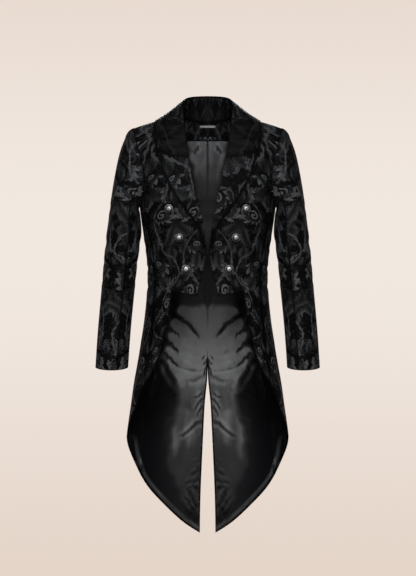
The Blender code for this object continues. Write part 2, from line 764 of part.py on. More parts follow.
def build_button(name, x, height, side):
    seat = place(x, height)
    normal = skin_normal(seat)
    centre = lifted(seat, BUTTON_SEAT)
    right = unit(np.cross(np.array([0.0, 0.0, 1.0]), normal))
    top = np.cross(normal, right)
    mirror = np.array([side, 1, 1])
    points = []
    for radius, level in BUTTON_PROFILE:
        for k in range(BUTTON_SIDES):
            turn = 2 * math.pi * k / BUTTON_SIDES
            flat = right * math.cos(turn) + top * math.sin(turn)
            points.append((centre + radius * flat + level * normal) * mirror)
    points.append((centre + BUTTON_TOP * normal) * mirror)
    points.append(centre * mirror)
    tip = len(points) - 2
    faces = []
    last = (len(BUTTON_PROFILE) - 1) * BUTTON_SIDES
    for k in range(BUTTON_SIDES):
        after = (k + 1) % BUTTON_SIDES
        for low in range(0, last, BUTTON_SIDES):
            high = low + BUTTON_SIDES
            faces.append((low + k, low + after, high + after, high + k))
        faces.append((last + k, last + after, tip))
        faces.append((after, k, tip + 1))
    solid(name, points, faces, "pewter")


def build_buttons():
    number = 1
    for side in (-1, 1):
        for x, height in BUTTON_PLACES:
            build_button(f"button_{number}", x, height, side)
            number += 1


def main():
    clear_scene()
    curve = seams()
    build_fronts(curve)
    build_sides(curve)
    build_backs(curve)
    build_facing()
    build_lapels()
    build_collar()
    build_sleeves(curve)
    build_buttons()


main()
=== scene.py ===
# %% [markdown]
# This file dresses a tailcoat: a fitted coat of black brocade with grey satin figures, lined with
# black satin and closed with nothing but its cut. The imported model gives its true shape as thin
# closed walls. Here each wall is copied, made finer, creased and given its cloth.
# The model is loaded first. Nothing may grow far outside that box.

# %% Load the imported model
import math

import bpy
import numpy as np
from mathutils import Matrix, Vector
from mathutils.kdtree import KDTree


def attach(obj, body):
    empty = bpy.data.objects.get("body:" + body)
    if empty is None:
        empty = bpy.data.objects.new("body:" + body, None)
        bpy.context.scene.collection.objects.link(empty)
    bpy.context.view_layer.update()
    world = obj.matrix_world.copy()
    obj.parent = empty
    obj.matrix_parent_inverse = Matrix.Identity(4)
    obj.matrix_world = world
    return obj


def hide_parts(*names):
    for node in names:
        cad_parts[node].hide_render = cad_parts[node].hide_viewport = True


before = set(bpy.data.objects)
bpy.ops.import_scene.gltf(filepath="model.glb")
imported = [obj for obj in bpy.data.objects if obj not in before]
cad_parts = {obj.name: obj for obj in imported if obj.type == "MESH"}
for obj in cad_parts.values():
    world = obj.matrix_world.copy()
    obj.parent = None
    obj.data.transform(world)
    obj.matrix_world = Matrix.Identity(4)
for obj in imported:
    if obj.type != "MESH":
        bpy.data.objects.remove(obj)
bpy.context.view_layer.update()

# %% [markdown]
# The coat was photographed from the front, level, with a long lens that keeps its sides straight.
# A camera far away with a very long lens gives that flat look. It is aimed at the middle of the
# coat, so it needs no shift.
# Colours are shown as they are, because a film look would lift the blacks of the cloth to grey.

# %% Camera
CAMERA_FAR = 12.0
CAMERA_RISE = math.radians(0.6)
AIM = (0.001, 0.0, -0.451)
VIEW_HIGH = 1.555
LONG_SIDE = 36.0

camera_data = bpy.data.cameras.new("camera")
camera_data.sensor_width = LONG_SIDE
camera_data.lens = LONG_SIDE * CAMERA_FAR / VIEW_HIGH
camera = bpy.data.objects.new("camera", camera_data)
bpy.context.scene.collection.objects.link(camera)
camera.location = (
    AIM[0],
    AIM[1] - CAMERA_FAR * math.cos(CAMERA_RISE),
    AIM[2] + CAMERA_FAR * math.sin(CAMERA_RISE),
)
camera.rotation_euler = (math.pi / 2 - CAMERA_RISE, 0.0, 0.0)
bpy.context.scene.camera = camera
bpy.context.scene.view_settings.view_transform = "Standard"
print("lens in mm:", round(camera_data.lens, 1))

# %% [markdown]
# The studio is a pale, warm one. Its far wall is the world itself, a soft cream that is lightest
# at the height of the coat, so that it stays the same from every side. A wide round floor fades
# into it. Being made of one disc, it has no corner that could show behind the coat.

# %% Small helpers for materials
def link(tree, value, socket):
    """A number or colour goes straight on a socket, and an output is joined to it."""
    if hasattr(value, "node"):
        tree.links.new(value, socket)
    else:
        socket.default_value = value


def node(tree, kind, inputs=(), **settings):
    """A new node with its settings and inputs, the inputs as (name or number, value)."""
    made = tree.nodes.new(kind)
    for name, value in settings.items():
        setattr(made, name, value)
    for name, value in inputs:
        link(tree, value, made.inputs[name])
    return made


def noise(tree, place, scale, detail, roughness=0.5, distortion=0.0):
    """A noise texture, read at a place."""
    return node(tree, "ShaderNodeTexNoise", [
        ("Vector", place), ("Scale", scale), ("Detail", detail), ("Roughness", roughness),
        ("Distortion", distortion)])


def object_place(tree):
    return node(tree, "ShaderNodeTexCoord").outputs["Object"]


def ramp(tree, value, stops):
    """A colour ramp through stops of (position, colour)."""
    made = node(tree, "ShaderNodeValToRGB", [("Fac", value)])
    band = made.color_ramp
    while len(band.elements) < len(stops):
        band.elements.new(0.5)
    for element, (place, colour) in zip(band.elements, stops):
        element.position = place
        element.color = (*colour, 1.0)
    return made.outputs["Color"]


class Term:
    """A number inside a material. Sums written with it become Math nodes."""

    def __init__(self, tree, socket):
        self.tree = tree
        self.socket = socket

    def sum_of(self, operation, *others, clamp=False):
        made = self.tree.nodes.new("ShaderNodeMath")
        made.operation = operation
        made.use_clamp = clamp
        for value, socket in zip((self, *others), made.inputs):
            link(self.tree, value.socket if isinstance(value, Term) else value, socket)
        return Term(self.tree, made.outputs[0])

    def __add__(self, other):
        return self.sum_of("ADD", other)

    def __sub__(self, other):
        return self.sum_of("SUBTRACT", other)

    def __mul__(self, other):
        return self.sum_of("MULTIPLY", other)

    def __truediv__(self, other):
        return self.sum_of("DIVIDE", other)

    def size(self):
        return self.sum_of("ABSOLUTE")

    def most(self, other):
        return self.sum_of("MAXIMUM", other)

    def step(self, low, high):
        """0 below low and 1 above high, or the other way round, with a soft step between."""
        made = self.tree.nodes.new("ShaderNodeMapRange")
        made.interpolation_type = "SMOOTHSTEP"
        rising = low < high
        for name, value in (
            ("Value", self.socket),
            ("From Min", min(low, high)),
            ("From Max", max(low, high)),
            ("To Min", 0.0 if rising else 1.0),
            ("To Max", 1.0 if rising else 0.0),
        ):
            link(self.tree, value, made.inputs[name])
        return Term(self.tree, made.outputs["Result"])


def new_material(name):
    """An empty node material and its Principled shader, joined to its output."""
    made = bpy.data.materials.new(name)
    made.use_nodes = True
    made.node_tree.nodes.clear()
    shader = node(made.node_tree, "ShaderNodeBsdfPrincipled")
    out = node(made.node_tree, "ShaderNodeOutputMaterial", [("Surface", shader.outputs["BSDF"])])
    out.is_active_output = True
    return made, made.node_tree, shader


def carried(tree, name, output):
    """What an attribute of the mesh holds, as an output of its node."""
    return node(tree, "ShaderNodeAttribute", attribute_name=name).outputs[output]


def add_relief(tree, shader, height, strength):
    """Fine relief as bump, from a height in metres."""
    bump = node(tree, "ShaderNodeBump", [
        ("Height", height.socket), ("Strength", strength), ("Distance", 1.0)])
    link(tree, bump.outputs["Normal"], shader.inputs["Normal"])


def set_plain(shader, **values):
    """Gives sockets a single value. An underscore in a name stands for a space."""
    for name, value in values.items():
        shader.inputs[name.replace("_", " ")].default_value = value


def clear_choice():
    bpy.ops.object.select_all(action="DESELECT")


print("helpers ready")

# %% Studio wall, floor and lights
WALL_LIGHT = (0.880, 0.805, 0.745)
WALL_WARM = (0.775, 0.655, 0.575)
WALL_FADE = (0.004, 0.085)
FLOOR_LEVEL = -1.52
FLOOR_RADIUS = 9.0
FLOOR_FADE = (0.42, 0.16)
FLOOR_COLOUR = (0.165, 0.144, 0.128, 1.0)
LAMP_COLOUR = (0.985, 0.99, 1.0)

world = bpy.data.worlds.new("studio_wall")
bpy.context.scene.world = world
world.use_nodes = True
wall = world.node_tree
wall.nodes.clear()
direction = node(wall, "ShaderNodeTexCoord")
split = node(wall, "ShaderNodeSeparateXYZ", [("Vector", direction.outputs["Generated"])])
height = Term(wall, split.outputs["Z"]).size().step(*WALL_FADE)
wall_colour = ramp(wall, height.socket, [(0.0, WALL_LIGHT), (1.0, WALL_WARM)])
wall_shine = node(wall, "ShaderNodeBackground", [("Color", wall_colour), ("Strength", 1.0)])
node(wall, "ShaderNodeOutputWorld", [("Surface", wall_shine.outputs["Background"])])

clear_choice()
bpy.ops.mesh.primitive_circle_add(
    vertices=96, radius=FLOOR_RADIUS, fill_type="NGON", location=(0.0, 0.0, FLOOR_LEVEL)
)
floor = bpy.context.object
floor.name = "floor"
bpy.ops.object.transform_apply(location=True)
floor_paint, tree, shader = new_material("floor_paper")
set_plain(shader, Base_Color=FLOOR_COLOUR, Roughness=0.8, Specular_IOR_Level=0.1)
flat_place = node(
    tree, "ShaderNodeVectorMath", [(0, object_place(tree)), (1, (1.0, 1.0, 0.0))], operation="MULTIPLY")
reach = node(tree, "ShaderNodeVectorMath", [(0, flat_place.outputs["Vector"])], operation="LENGTH")
fade = (Term(tree, reach.outputs["Value"]) / FLOOR_RADIUS).step(*FLOOR_FADE)
link(tree, fade.socket, shader.inputs["Alpha"])
floor.data.materials.append(floor_paint)

LIGHTS = (
    # name, place, aimed at, width, height, watts
    ("key", (0.0, -3.4, 1.7), (0.0, 0.0, -0.45), 1.6, 1.2, 640.0),
    ("low_fill", (0.0, -3.4, -0.7), (0.0, 0.0, -0.7), 1.6, 1.0, 90.0),
    ("top", (0.0, 0.2, 2.6), (0.0, 0.0, -0.3), 1.8, 1.2, 70.0),
    ("back", (0.0, 3.6, 1.3), (0.0, 0.0, -0.4), 2.0, 1.2, 360.0),
)
for name, spot, target, wide, high, watts in LIGHTS:
    lamp_data = bpy.data.lights.new(name, "AREA")
    lamp_data.shape = "RECTANGLE"
    lamp_data.size = wide
    lamp_data.size_y = high
    lamp_data.energy = watts
    lamp_data.color = LAMP_COLOUR
    lamp = bpy.data.objects.new(name, lamp_data)
    bpy.context.scene.collection.objects.link(lamp)
    lamp.location = spot
    lamp.visible_camera = False
    lamp.rotation_euler = (Vector(target) - lamp.location).to_track_quat("-Z", "Y").to_euler()
print("lights:", len(LIGHTS))

# %% [markdown]
# The brocade is one cloth for the whole shell. Its ground is matte black, and its figure is woven in
# grey satin: curling stems, leaves, palmettes and a fine lace between them. A picture would be the
# quick way, but it would blur near to. So the figure is drawn with sums in the material: a curl is
# a band that winds round a centre, and a leaf is where two circles cross.
# The sums read the cloth's own lengths from an attribute, so the figure follows every fold.

# %% The figure's drawing tools
REPEAT_WIDE = 0.172
REPEAT_HIGH = 0.236
HALF_WIDE = REPEAT_WIDE / 2.0
HALF_HIGH = REPEAT_HIGH / 2.0
TURN = 2.0 * math.pi


def cloth_place(tree):
    """The lengths across and along the cloth, in metres, as two terms."""
    return two_lengths(tree, "cloth_uv")


def two_lengths(tree, name):
    """The first two numbers of an attribute, as two terms."""
    parts = node(tree, "ShaderNodeSeparateXYZ", [("Vector", carried(tree, name, "Vector"))])
    return Term(tree, parts.outputs["X"]), Term(tree, parts.outputs["Y"])


def wave(value, length):
    """A number that swings from 0 to 1 and back in each length."""
    return (value * (TURN / length)).sum_of("SINE") * 0.5 + 0.5


def turned(across, along, centre, degrees):
    """The place measured from centre, with the axes turned."""
    cosine, sine = math.cos(math.radians(degrees)), math.sin(math.radians(degrees))
    right = across - centre[0]
    up = along - centre[1]
    return right * cosine + up * sine, up * cosine - right * sine


def curl(across, along, centre, radius, pitch, hand, start=0.0):
    """A band that winds inwards round centre, as the end of a scroll does."""
    right, up = turned(across, along, centre, start)
    far = (right * right + up * up).sum_of("SQRT")
    angle = up.sum_of("ARCTAN2", right * hand) / TURN
    winding = (far / pitch + angle).sum_of("FRACT")
    return (winding - 0.5).size().step(0.30, 0.22) * far.step(radius, radius - 0.0015)


def leaf(across, along, centre, degrees, long, wide):
    """A pointed leaf with a dark rib down its middle and a notched edge."""
    right, up = turned(across, along, centre, degrees)
    apart = (long * long - wide * wide) / (4.0 * wide)
    radius = apart + wide / 2.0
    notch = ((up * (TURN / 0.0085)).sum_of("SINE") + 1.0) * (wide * 0.09)
    side = right.size() + apart + notch
    far = (side * side + up * up).sum_of("SQRT")
    return far.step(radius + 0.0012, radius - 0.0014) * right.size().step(-0.0004, 0.0013)


def acanthus(across, along, centre, start, sweep, radius, spread, lobes, hand):
    """A scroll leaf: a curved band that swells into lobes on its outer side and tapers at its ends."""
    right, up = turned(across, along, centre, 0.0)
    far = (right * right + up * up).sum_of("SQRT")
    turn = (up.sum_of("ARCTAN2", right * hand) - math.radians(start)).sum_of("FLOORED_MODULO", TURN)
    share = turn / math.radians(sweep)
    swell = share.step(0.0, 0.45) * share.step(1.0, 0.55)
    lobe = (share * lobes).sum_of("FRACT").sum_of("POWER", 0.75) * 0.68 + 0.32
    outer = (lobe * swell) * spread + radius
    inner = swell * (-0.28 * spread) + radius - 0.0008
    body = (outer - far).step(-0.0004, 0.0022) * (far - inner).step(-0.0004, 0.0012)
    body = body * share.step(1.02, 0.97)
    vein = (far - radius - swell * (0.16 * spread)).size().step(0.0002, 0.0016)
    rays = ((share * (lobes * TURN * 2.0) + far * 900.0).sum_of("SINE")) * 0.12
    shade = (far - radius) / spread * 0.60 + 0.58 + rays
    return body * vein * shade


def flame(across, along, centre, degrees, long, wide, sway, fingers):
    """A big feathered leaf: a bent midrib with slanting fingers, parted by thin dark lines."""
    right, up = turned(across, along, centre, degrees)
    share = up / long + 0.5
    side = right - (up * up) * sway
    off = side.size()
    half = share.step(-0.02, 0.40) * share.step(1.02, 0.45) * (wide / 2.0)
    slant = share * fingers - off * (fingers / long * 1.15)
    finger = slant.sum_of("FRACT").sum_of("POWER", 0.6) * 0.48 + 0.52
    body = (half * finger - off).step(-0.0003, 0.0010)
    barbs = ((slant * 2.0).sum_of("FRACT") - 0.5).size().step(0.07, 0.19)
    shade = off / wide * 0.9 + 0.52
    return body * (barbs * 0.75 + 0.25) * off.step(0.0002, 0.0013) * shade


print("repeat in mm:", 1000 * REPEAT_WIDE, "by", 1000 * REPEAT_HIGH)

# %% [markdown]
# A damask is drawn once and mirrored. Folding the width about the coat's own middle does that, so
# both fronts match as the real ones do, and each next repeat is set a little lower than the last.
# Scroll leaves wind round each other, with a curl at the heart of each and small leaves between
# them. A warped noise moves the edges a little, so that no leaf has a ruler's line, and cut into
# thin lines the same noise reads as the lace that fills the ground.

# %% The figure's group of nodes
CURLS = (
    # frame, across, along, radius, pitch, hand, start
    ("low", 0.0480, 0.0300, 0.0140, 0.0094, 1.0, 0.0),
    ("mid", 0.0230, 0.1480, 0.0115, 0.0078, -1.0, 90.0),
)
SCROLLS = (
    # frame, across, along, start, sweep, radius, spread, lobes, hand
    ("low", 0.0480, 0.0300, 200.0, 250.0, 0.0165, 0.0220, 7.0, 1.0),
    ("mid", 0.0230, 0.1480, 130.0, 200.0, 0.0150, 0.0200, 6.0, -1.0),
    ("mid", 0.0860, 0.0800, 95.0, 170.0, 0.0260, 0.0190, 7.0, 1.0),
    ("low", 0.0000, 0.0050, -60.0, 150.0, 0.0240, 0.0170, 6.0, 1.0),
)
LEAVES = (
    # frame, across, along, degrees, length, width
    ("mid", 0.0125, 0.0730, -40.0, 0.036, 0.014),
    ("low", 0.0740, 0.0190, 42.0, 0.032, 0.012),
    ("mid", 0.0000, 0.1700, 0.0, 0.038, 0.016),
)
FLAMES = (
    # frame, across, along, degrees, length, width, sway, fingers
    ("mid", 0.0330, 0.0980, 34.0, 0.092, 0.046, 9.0, 7.0),
    ("low", 0.0700, -0.0300, -28.0, 0.086, 0.042, -9.0, 7.0),
    ("mid", 0.0680, 0.1560, 152.0, 0.076, 0.040, 8.0, 6.0),
    ("low", 0.0170, -0.0480, 196.0, 0.070, 0.036, 10.0, 6.0),
    ("mid", 0.0000, 0.0860, 0.0, 0.060, 0.034, 0.0, 5.0),
    ("low", 0.0860, 0.0700, 180.0, 0.056, 0.032, 0.0, 5.0),
)
WARPS = (
    # reach, scale, detail, roughness
    (0.0085, 48.0, 2.0, 0.6),
    (0.050, 15.0, 0.5, 0.5),
)
SLANT = 0.42
STEM_SWING = 0.030
STEM_BARB = 0.11
STEM_GAIN = 0.8
LEAF_GAIN = 0.85
FEATHER_GAIN = 0.62


def figure_group():
    """A group that turns a place on the cloth into the figure, the lace and the smooth patches."""
    group = bpy.data.node_groups.new("damask_figure", "ShaderNodeTree")
    group.interface.new_socket("Across", in_out="INPUT", socket_type="NodeSocketFloat")
    group.interface.new_socket("Along", in_out="INPUT", socket_type="NodeSocketFloat")
    for name in ("Figure", "Lace", "Smooth"):
        group.interface.new_socket(name, in_out="OUTPUT", socket_type="NodeSocketFloat")
    start = node(group, "NodeGroupInput")
    far_out = Term(group, start.outputs["Across"]).size()
    folded = far_out.sum_of("PINGPONG", HALF_WIDE)
    straight = Term(group, start.outputs["Along"]) + far_out * SLANT
    flat_place = node(group, "ShaderNodeCombineXYZ", [
        ("X", far_out.socket), ("Y", start.outputs["Along"]), ("Z", 0.0)])
    free_place = flat_place.outputs["Vector"]
    near_fold = far_out.step(0.0, 0.012)
    across, along = folded, straight
    for reach, scale, detail, roughness in WARPS:
        drift = noise(group, free_place, scale, detail, roughness).outputs["Color"]
        shifts = node(group, "ShaderNodeSeparateColor", [("Color", drift)])
        across = across + (Term(group, shifts.outputs["Red"]) - 0.5) * reach * near_fold
        along = along + (Term(group, shifts.outputs["Green"]) - 0.5) * reach
    frames = {
        "mid": along.sum_of("FLOORED_MODULO", REPEAT_HIGH),
        "low": (along + HALF_HIGH).sum_of("FLOORED_MODULO", REPEAT_HIGH) - HALF_HIGH,
    }
    bend = (along * (TURN / REPEAT_HIGH)).sum_of("COSINE") * -STEM_SWING + HALF_WIDE / 2.0
    barb = (along * (TURN / STEM_BARB)).sum_of("FRACT") * 0.0030 + 0.0014
    figure = ((across - bend).size() - barb).step(0.0006, -0.0008) * STEM_GAIN
    for draw, gain, table in (
        (acanthus, 1.0, SCROLLS), (curl, 1.0, CURLS), (leaf, LEAF_GAIN, LEAVES), (flame, 1.0, FLAMES)
    ):
        for frame_name, x, y, *form in table:
            figure = figure.most(draw(across, frames[frame_name], (x, y), *form) * gain)
    sweep = Term(group, noise(group, free_place, 30.0, 1.6, 0.50, 3.2).outputs["Fac"])
    feather = sweep.step(0.555, 0.572) * ((sweep * 11.0).sum_of("FRACT") - 0.5).size().step(0.06, 0.20)
    figure = figure.most(feather * FEATHER_GAIN)
    grain = Term(group, noise(group, free_place, 130.0, 1.8, 0.55, 2.2).outputs["Fac"])
    lace = (grain - 0.50).size().step(0.034, 0.012).most(grain.step(0.61, 0.66))
    patches = Term(group, noise(group, free_place, 26.0, 1.5, 0.5, 1.6).outputs["Fac"])
    end = node(group, "NodeGroupOutput")
    link(group, figure.socket, end.inputs["Figure"])
    link(group, lace.socket, end.inputs["Lace"])
    link(group, patches.step(0.53, 0.57).socket, end.inputs["Smooth"])
    print("figure group nodes:", len(group.nodes))
    return group


FIGURE = figure_group()

# %% [markdown]
# Satin floats lie side by side and catch the light along their length, so the figure is smoother and
# lighter than the ground. A fine twill gives the bump of the threads, and a slow noise varies the
# tone, as cloth that has been worn and pressed does. The figure stands a hair above the ground.

# %% Brocade
GROUND = (0.00016, 0.00017, 0.00022)
LACE_GREY = (0.0006, 0.00063, 0.00074)
MID_GREY = (0.0025, 0.0026, 0.0028)
FIGURE_GREY = (0.0145, 0.0150, 0.0158)
LACE_GAIN = 0.50
SMOOTH_GAIN = 0.22
THREAD = 0.00062


def brocade(name, shift=(0.0, 0.0), degrees=0.0, gain=1.0):
    """Brocade whose figure is moved by shift and turned on the cloth, and whose tone is scaled by gain,
    a painted lightening or darkening of the whole copy.
    """
    made, tree, shader = new_material(name)
    across, along = cloth_place(tree)
    right, up = turned(across, along, shift, degrees)
    drawn = node(tree, "ShaderNodeGroup", node_tree=FIGURE)
    link(tree, right.socket, drawn.inputs["Across"])
    link(tree, up.socket, drawn.inputs["Along"])
    figure = Term(tree, drawn.outputs["Figure"])
    lace = Term(tree, drawn.outputs["Lace"])
    smooth = Term(tree, drawn.outputs["Smooth"])
    place = object_place(tree)
    uneven = Term(tree, noise(tree, place, 11.0, 3.0, 0.6).outputs["Fac"])
    speck = Term(tree, noise(tree, place, 900.0, 1.0).outputs["Fac"]) * 0.5 + 0.75
    filling = (lace * LACE_GAIN * (smooth * -0.8 + 1.0)).most(smooth * SMOOTH_GAIN)
    tone = (figure * (uneven * 0.35 + 0.82)).most(filling) * speck * gain
    # The tone is darkened by the painted shade that each shell piece carries: in creases, along seams
    # and beside the lapel.
    tone = tone * Term(tree, carried(tree, "painted_light_and_shade", "Fac"))
    colour = ramp(tree, tone.socket, [
        (0.0, GROUND), (0.34, LACE_GREY), (0.64, MID_GREY), (1.0, FIGURE_GREY)])
    link(tree, colour, shader.inputs["Base Color"])
    link(tree, (tone * -0.26 + 0.66).socket, shader.inputs["Roughness"])
    set_plain(shader, Specular_IOR_Level=0.006, Sheen_Weight=0.0005, Sheen_Roughness=0.45)
    twill = wave(across + along, THREAD)
    floats = wave(across - along * 0.35, THREAD * 2.2)
    relief = twill * 0.00003 + figure * 0.00012 + floats * figure * 0.00003 + lace * 0.00006
    add_relief(tree, shader, relief, 0.9)
    return made


BROCADE = brocade("brocade")
# The sleeve copy is lightened as painted light; the lapel and collar copies are darkened as painted
# shade.
BROCADE_SLEEVE = brocade("brocade_sleeve", shift=(0.030, 0.060), gain=1.08)
BROCADE_LAPEL = brocade("brocade_lapel", shift=(0.020, 0.030), degrees=14.0, gain=0.98)
BROCADE_COLLAR = brocade("brocade_collar", shift=(0.0, 0.045), gain=0.68)
print("brocades:", 4)

# %% [markdown]
# The lining is black satin. Its warp threads float over the weft, so it is smooth and shines along
# the folds, while its own colour is nearly black. Its shine is painted into its colour: a ramp from
# black to grey follows the painted light and shade that each point carries, with a middling
# roughness, and small creases too fine for the mesh are put in as bump.

# %% Lining satin
# The satin's own near-black, and the grey colours of its painted highlight.
SATIN_BLACK = (0.0007, 0.0008, 0.0010)
SATIN_PAINTED_HALF_LIGHT = (0.0060, 0.0061, 0.0063)
SATIN_PAINTED_HIGHLIGHT = (0.0300, 0.0308, 0.0316)
WARP_THREAD = 0.00042
WEFT_THREAD = 0.0009


def drawn_out(tree, squeeze):
    """The place on the piece with its height squeezed, which draws a noise out downwards."""
    made = node(tree, "ShaderNodeMapping", [
        ("Vector", object_place(tree)), ("Scale", (1.0, 1.0, squeeze))])
    return made.outputs["Vector"]


def satin(name):
    """Black satin with painted shine and shade: its colour follows the painted light and shade that
    each point of the lining carries.
    """
    made, tree, shader = new_material(name)
    across, along = cloth_place(tree)
    uneven = Term(tree, noise(tree, drawn_out(tree, 0.4), 24.0, 3.0, 0.5, 0.5).outputs["Fac"])
    float_line = wave(across, WARP_THREAD)
    cross_line = wave(along + across * 0.2, WEFT_THREAD)
    painted_light_and_shade = Term(tree, carried(tree, "painted_light_and_shade", "Fac"))
    # Colour from the painted light and shade, varied along long drapes by a noise drawn out downwards,
    # which is painted shine too.
    tone = painted_light_and_shade * (uneven * 1.3 + 0.37) * (cross_line * 0.10 + 0.95)
    colour = ramp(tree, tone.socket, [(0.0, SATIN_BLACK), (0.45, SATIN_PAINTED_HALF_LIGHT), (1.0, SATIN_PAINTED_HIGHLIGHT)])
    link(tree, colour, shader.inputs["Base Color"])
    link(tree, (uneven * 0.14 + 0.34).socket, shader.inputs["Roughness"])
    set_plain(shader, Specular_IOR_Level=0.018, Sheen_Weight=0.001)
    wrinkled = noise(tree, drawn_out(tree, 0.45), 26.0, 2.0, 0.5, 0.4)
    relief = Term(tree, wrinkled.outputs["Fac"]) * 0.0005 + float_line * 0.000012
    add_relief(tree, shader, relief + cross_line * 0.000008, 0.8)
    return made


SATIN = satin("lining_satin")
print("satin ready")

# %% [markdown]
# Every piece of cloth starts as a copy of its wall in the model. That mesh is loose triangles, so the
# copy is merged, paired into quads and divided until a crease a few millimetres wide has mesh to
# bend. The rim of the wall is marked as a crease, or dividing would round it and shrink the piece.
# Where the rim turns at a corner, the corner's point is marked too, and so two pieces that meet
# there still meet.

# %% A fine copy of a wall
RIM_ANGLE = math.radians(48.0)
SMOOTH_ANGLE = math.radians(42.0)
QUAD_ANGLE = math.radians(70.0)
MERGE = 2.0e-6
SEAM_REACH = 0.00032
CORNER_TURN = math.radians(28.0)


def corner_points(piece, rim):
    """Whether the rim turns a corner at each vertex."""
    points = points_of(piece)
    start, stop = edge_ends(piece)[rim].T
    run = points[stop] - points[start]
    run /= np.linalg.norm(run, axis=1, keepdims=True)
    pull = np.zeros_like(points)
    np.add.at(pull, start, run)
    np.add.at(pull, stop, -run)
    joined = np.bincount(np.concatenate([start, stop]), minlength=len(points)) > 1
    return joined & (np.linalg.norm(pull, axis=1) > 2.0 * math.sin(CORNER_TURN / 2.0))


def edge_ends(piece):
    """The two vertices of each edge."""
    ends = np.empty(2 * len(piece.data.edges), np.int32)
    piece.data.edges.foreach_get("vertices", ends)
    return ends.reshape(-1, 2)


def carry(piece, name, values):
    """Writes one number or three on each point, where a material reads them."""
    three = values.ndim > 1
    made = piece.data.attributes.new(name, "FLOAT_VECTOR" if three else "FLOAT", "POINT")
    made.data.foreach_set("vector" if three else "value", values.astype(np.float32).ravel())


def fine_copy(node_name, name, rounds):
    """A merged copy of a node's wall in quads, divided rounds times with its rim kept sharp."""
    clear_choice()
    piece = bpy.data.objects.new(name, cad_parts[node_name].data.copy())
    bpy.context.scene.collection.objects.link(piece)
    piece.data.materials.clear()
    bpy.context.view_layer.objects.active = piece
    piece.select_set(True)
    bpy.ops.object.mode_set(mode="EDIT")
    bpy.ops.mesh.select_all(action="SELECT")
    bpy.ops.mesh.remove_doubles(threshold=MERGE)
    bpy.ops.mesh.tris_convert_to_quads(face_threshold=RIM_ANGLE, shape_threshold=QUAD_ANGLE)
    bpy.ops.mesh.select_all(action="DESELECT")
    bpy.ops.mesh.select_mode(type="EDGE")
    bpy.ops.mesh.edges_select_sharp(sharpness=RIM_ANGLE)
    bpy.ops.object.mode_set(mode="OBJECT")
    rim = np.zeros(len(piece.data.edges), bool)
    piece.data.edges.foreach_get("select", rim)
    marked = piece.data.attributes.new("crease_edge", "FLOAT", "EDGE")
    marked.data.foreach_set("value", rim.astype(np.float32))
    carry(piece, "crease_vert", corner_points(piece, rim))
    finer = piece.modifiers.new("finer", "SUBSURF")
    finer.levels = rounds
    finer.render_levels = rounds
    bpy.ops.object.modifier_apply(modifier="finer")
    bpy.ops.object.shade_smooth_by_angle(angle=SMOOTH_ANGLE)
    return piece


def points_of(piece):
    """The piece's vertices as rows of x, y, z."""
    flat = np.empty(3 * len(piece.data.vertices))
    piece.data.vertices.foreach_get("co", flat)
    return flat.reshape(-1, 3)


def normals_of(piece):
    """The direction that the surface faces at each vertex."""
    flat = np.empty(3 * len(piece.data.vertices), np.float32)
    piece.data.vertex_normals.foreach_get("vector", flat)
    return flat.reshape(-1, 3).astype(float)


def move_to(piece, points):
    """Puts the piece's vertices at these rows of x, y, z."""
    piece.data.vertices.foreach_set("co", points.astype(np.float32).ravel())
    piece.data.update()


def rim_points(piece):
    """Which vertices lie on the sharp rim of the wall."""
    sharp = np.zeros(len(piece.data.edges), bool)
    piece.data.attributes["sharp_edge"].data.foreach_get("value", sharp)
    found = np.zeros(len(piece.data.vertices), bool)
    found[edge_ends(piece)[sharp].ravel()] = True
    return found


print("copying tool ready")

# %% [markdown]
# A weave runs across and along the cloth, not along the world's axes, so each point of a piece
# gets its own two lengths. On the body they are the way round from the middle of the front, and the
# height, which runs on over the shoulder. On a sleeve they are the way round the arm and the height.

# %% Lengths across and along each piece
BODY_HALF_WIDE = 0.184
BODY_HALF_DEEP = 0.120
BODY_POWER = 2.4
SHOULDER_ROUND = 0.085
SHOULDER_TOP = 0.046
SHOULDER_FALL = 0.326
SHOULDER_SOFT = 0.035
ARM_TOP = np.array([0.2050, 0.0000, 0.0000])
ARM_ELBOW = np.array([0.2330, -0.0080, -0.3600])
ARM_WRIST = np.array([0.2580, -0.0390, -0.6700])
ARM_ROUND = 0.047
NECK_MIDDLE = 0.020
COLLAR_ROUND = 0.095


def shoulder_turn(points):
    """How far round the shoulder a point lies, from 0 on its ridge to a right angle at the chest."""
    ridge = SHOULDER_TOP - SHOULDER_FALL * np.hypot(points[:, 0], SHOULDER_SOFT)
    down = np.clip((ridge - points[:, 2]) / SHOULDER_ROUND, 0.0, 1.0)
    return np.arccos(1.0 - down)


def round_body(points):
    """The way round the body from the middle of the front, for each point."""
    turns = np.linspace(0.0, math.pi, 400)
    shape = (
        np.abs(np.sin(turns) / BODY_HALF_WIDE) ** BODY_POWER
        + np.abs(np.cos(turns) / BODY_HALF_DEEP) ** BODY_POWER
    ) ** (-1.0 / BODY_POWER)
    ring = np.stack([shape * np.sin(turns), shape * np.cos(turns)], 1)
    steps = np.linalg.norm(np.diff(ring, axis=0), axis=1)
    way = np.concatenate([[0.0], np.cumsum(steps)])
    turn = np.arctan2(points[:, 0], -points[:, 1])
    return np.sign(turn) * np.interp(np.abs(turn), turns, way)


def arm_middle(points):
    """The point of the arm's middle line at each point's height."""
    heights = [ARM_WRIST[2], ARM_ELBOW[2], ARM_TOP[2]]
    side = np.sign(points[:, 0])
    middle = np.stack([
        np.interp(points[:, 2], heights, [ARM_WRIST[k], ARM_ELBOW[k], ARM_TOP[k]]) for k in (0, 1)
    ], 1)
    return np.stack([side * middle[:, 0], middle[:, 1], points[:, 2]], 1)


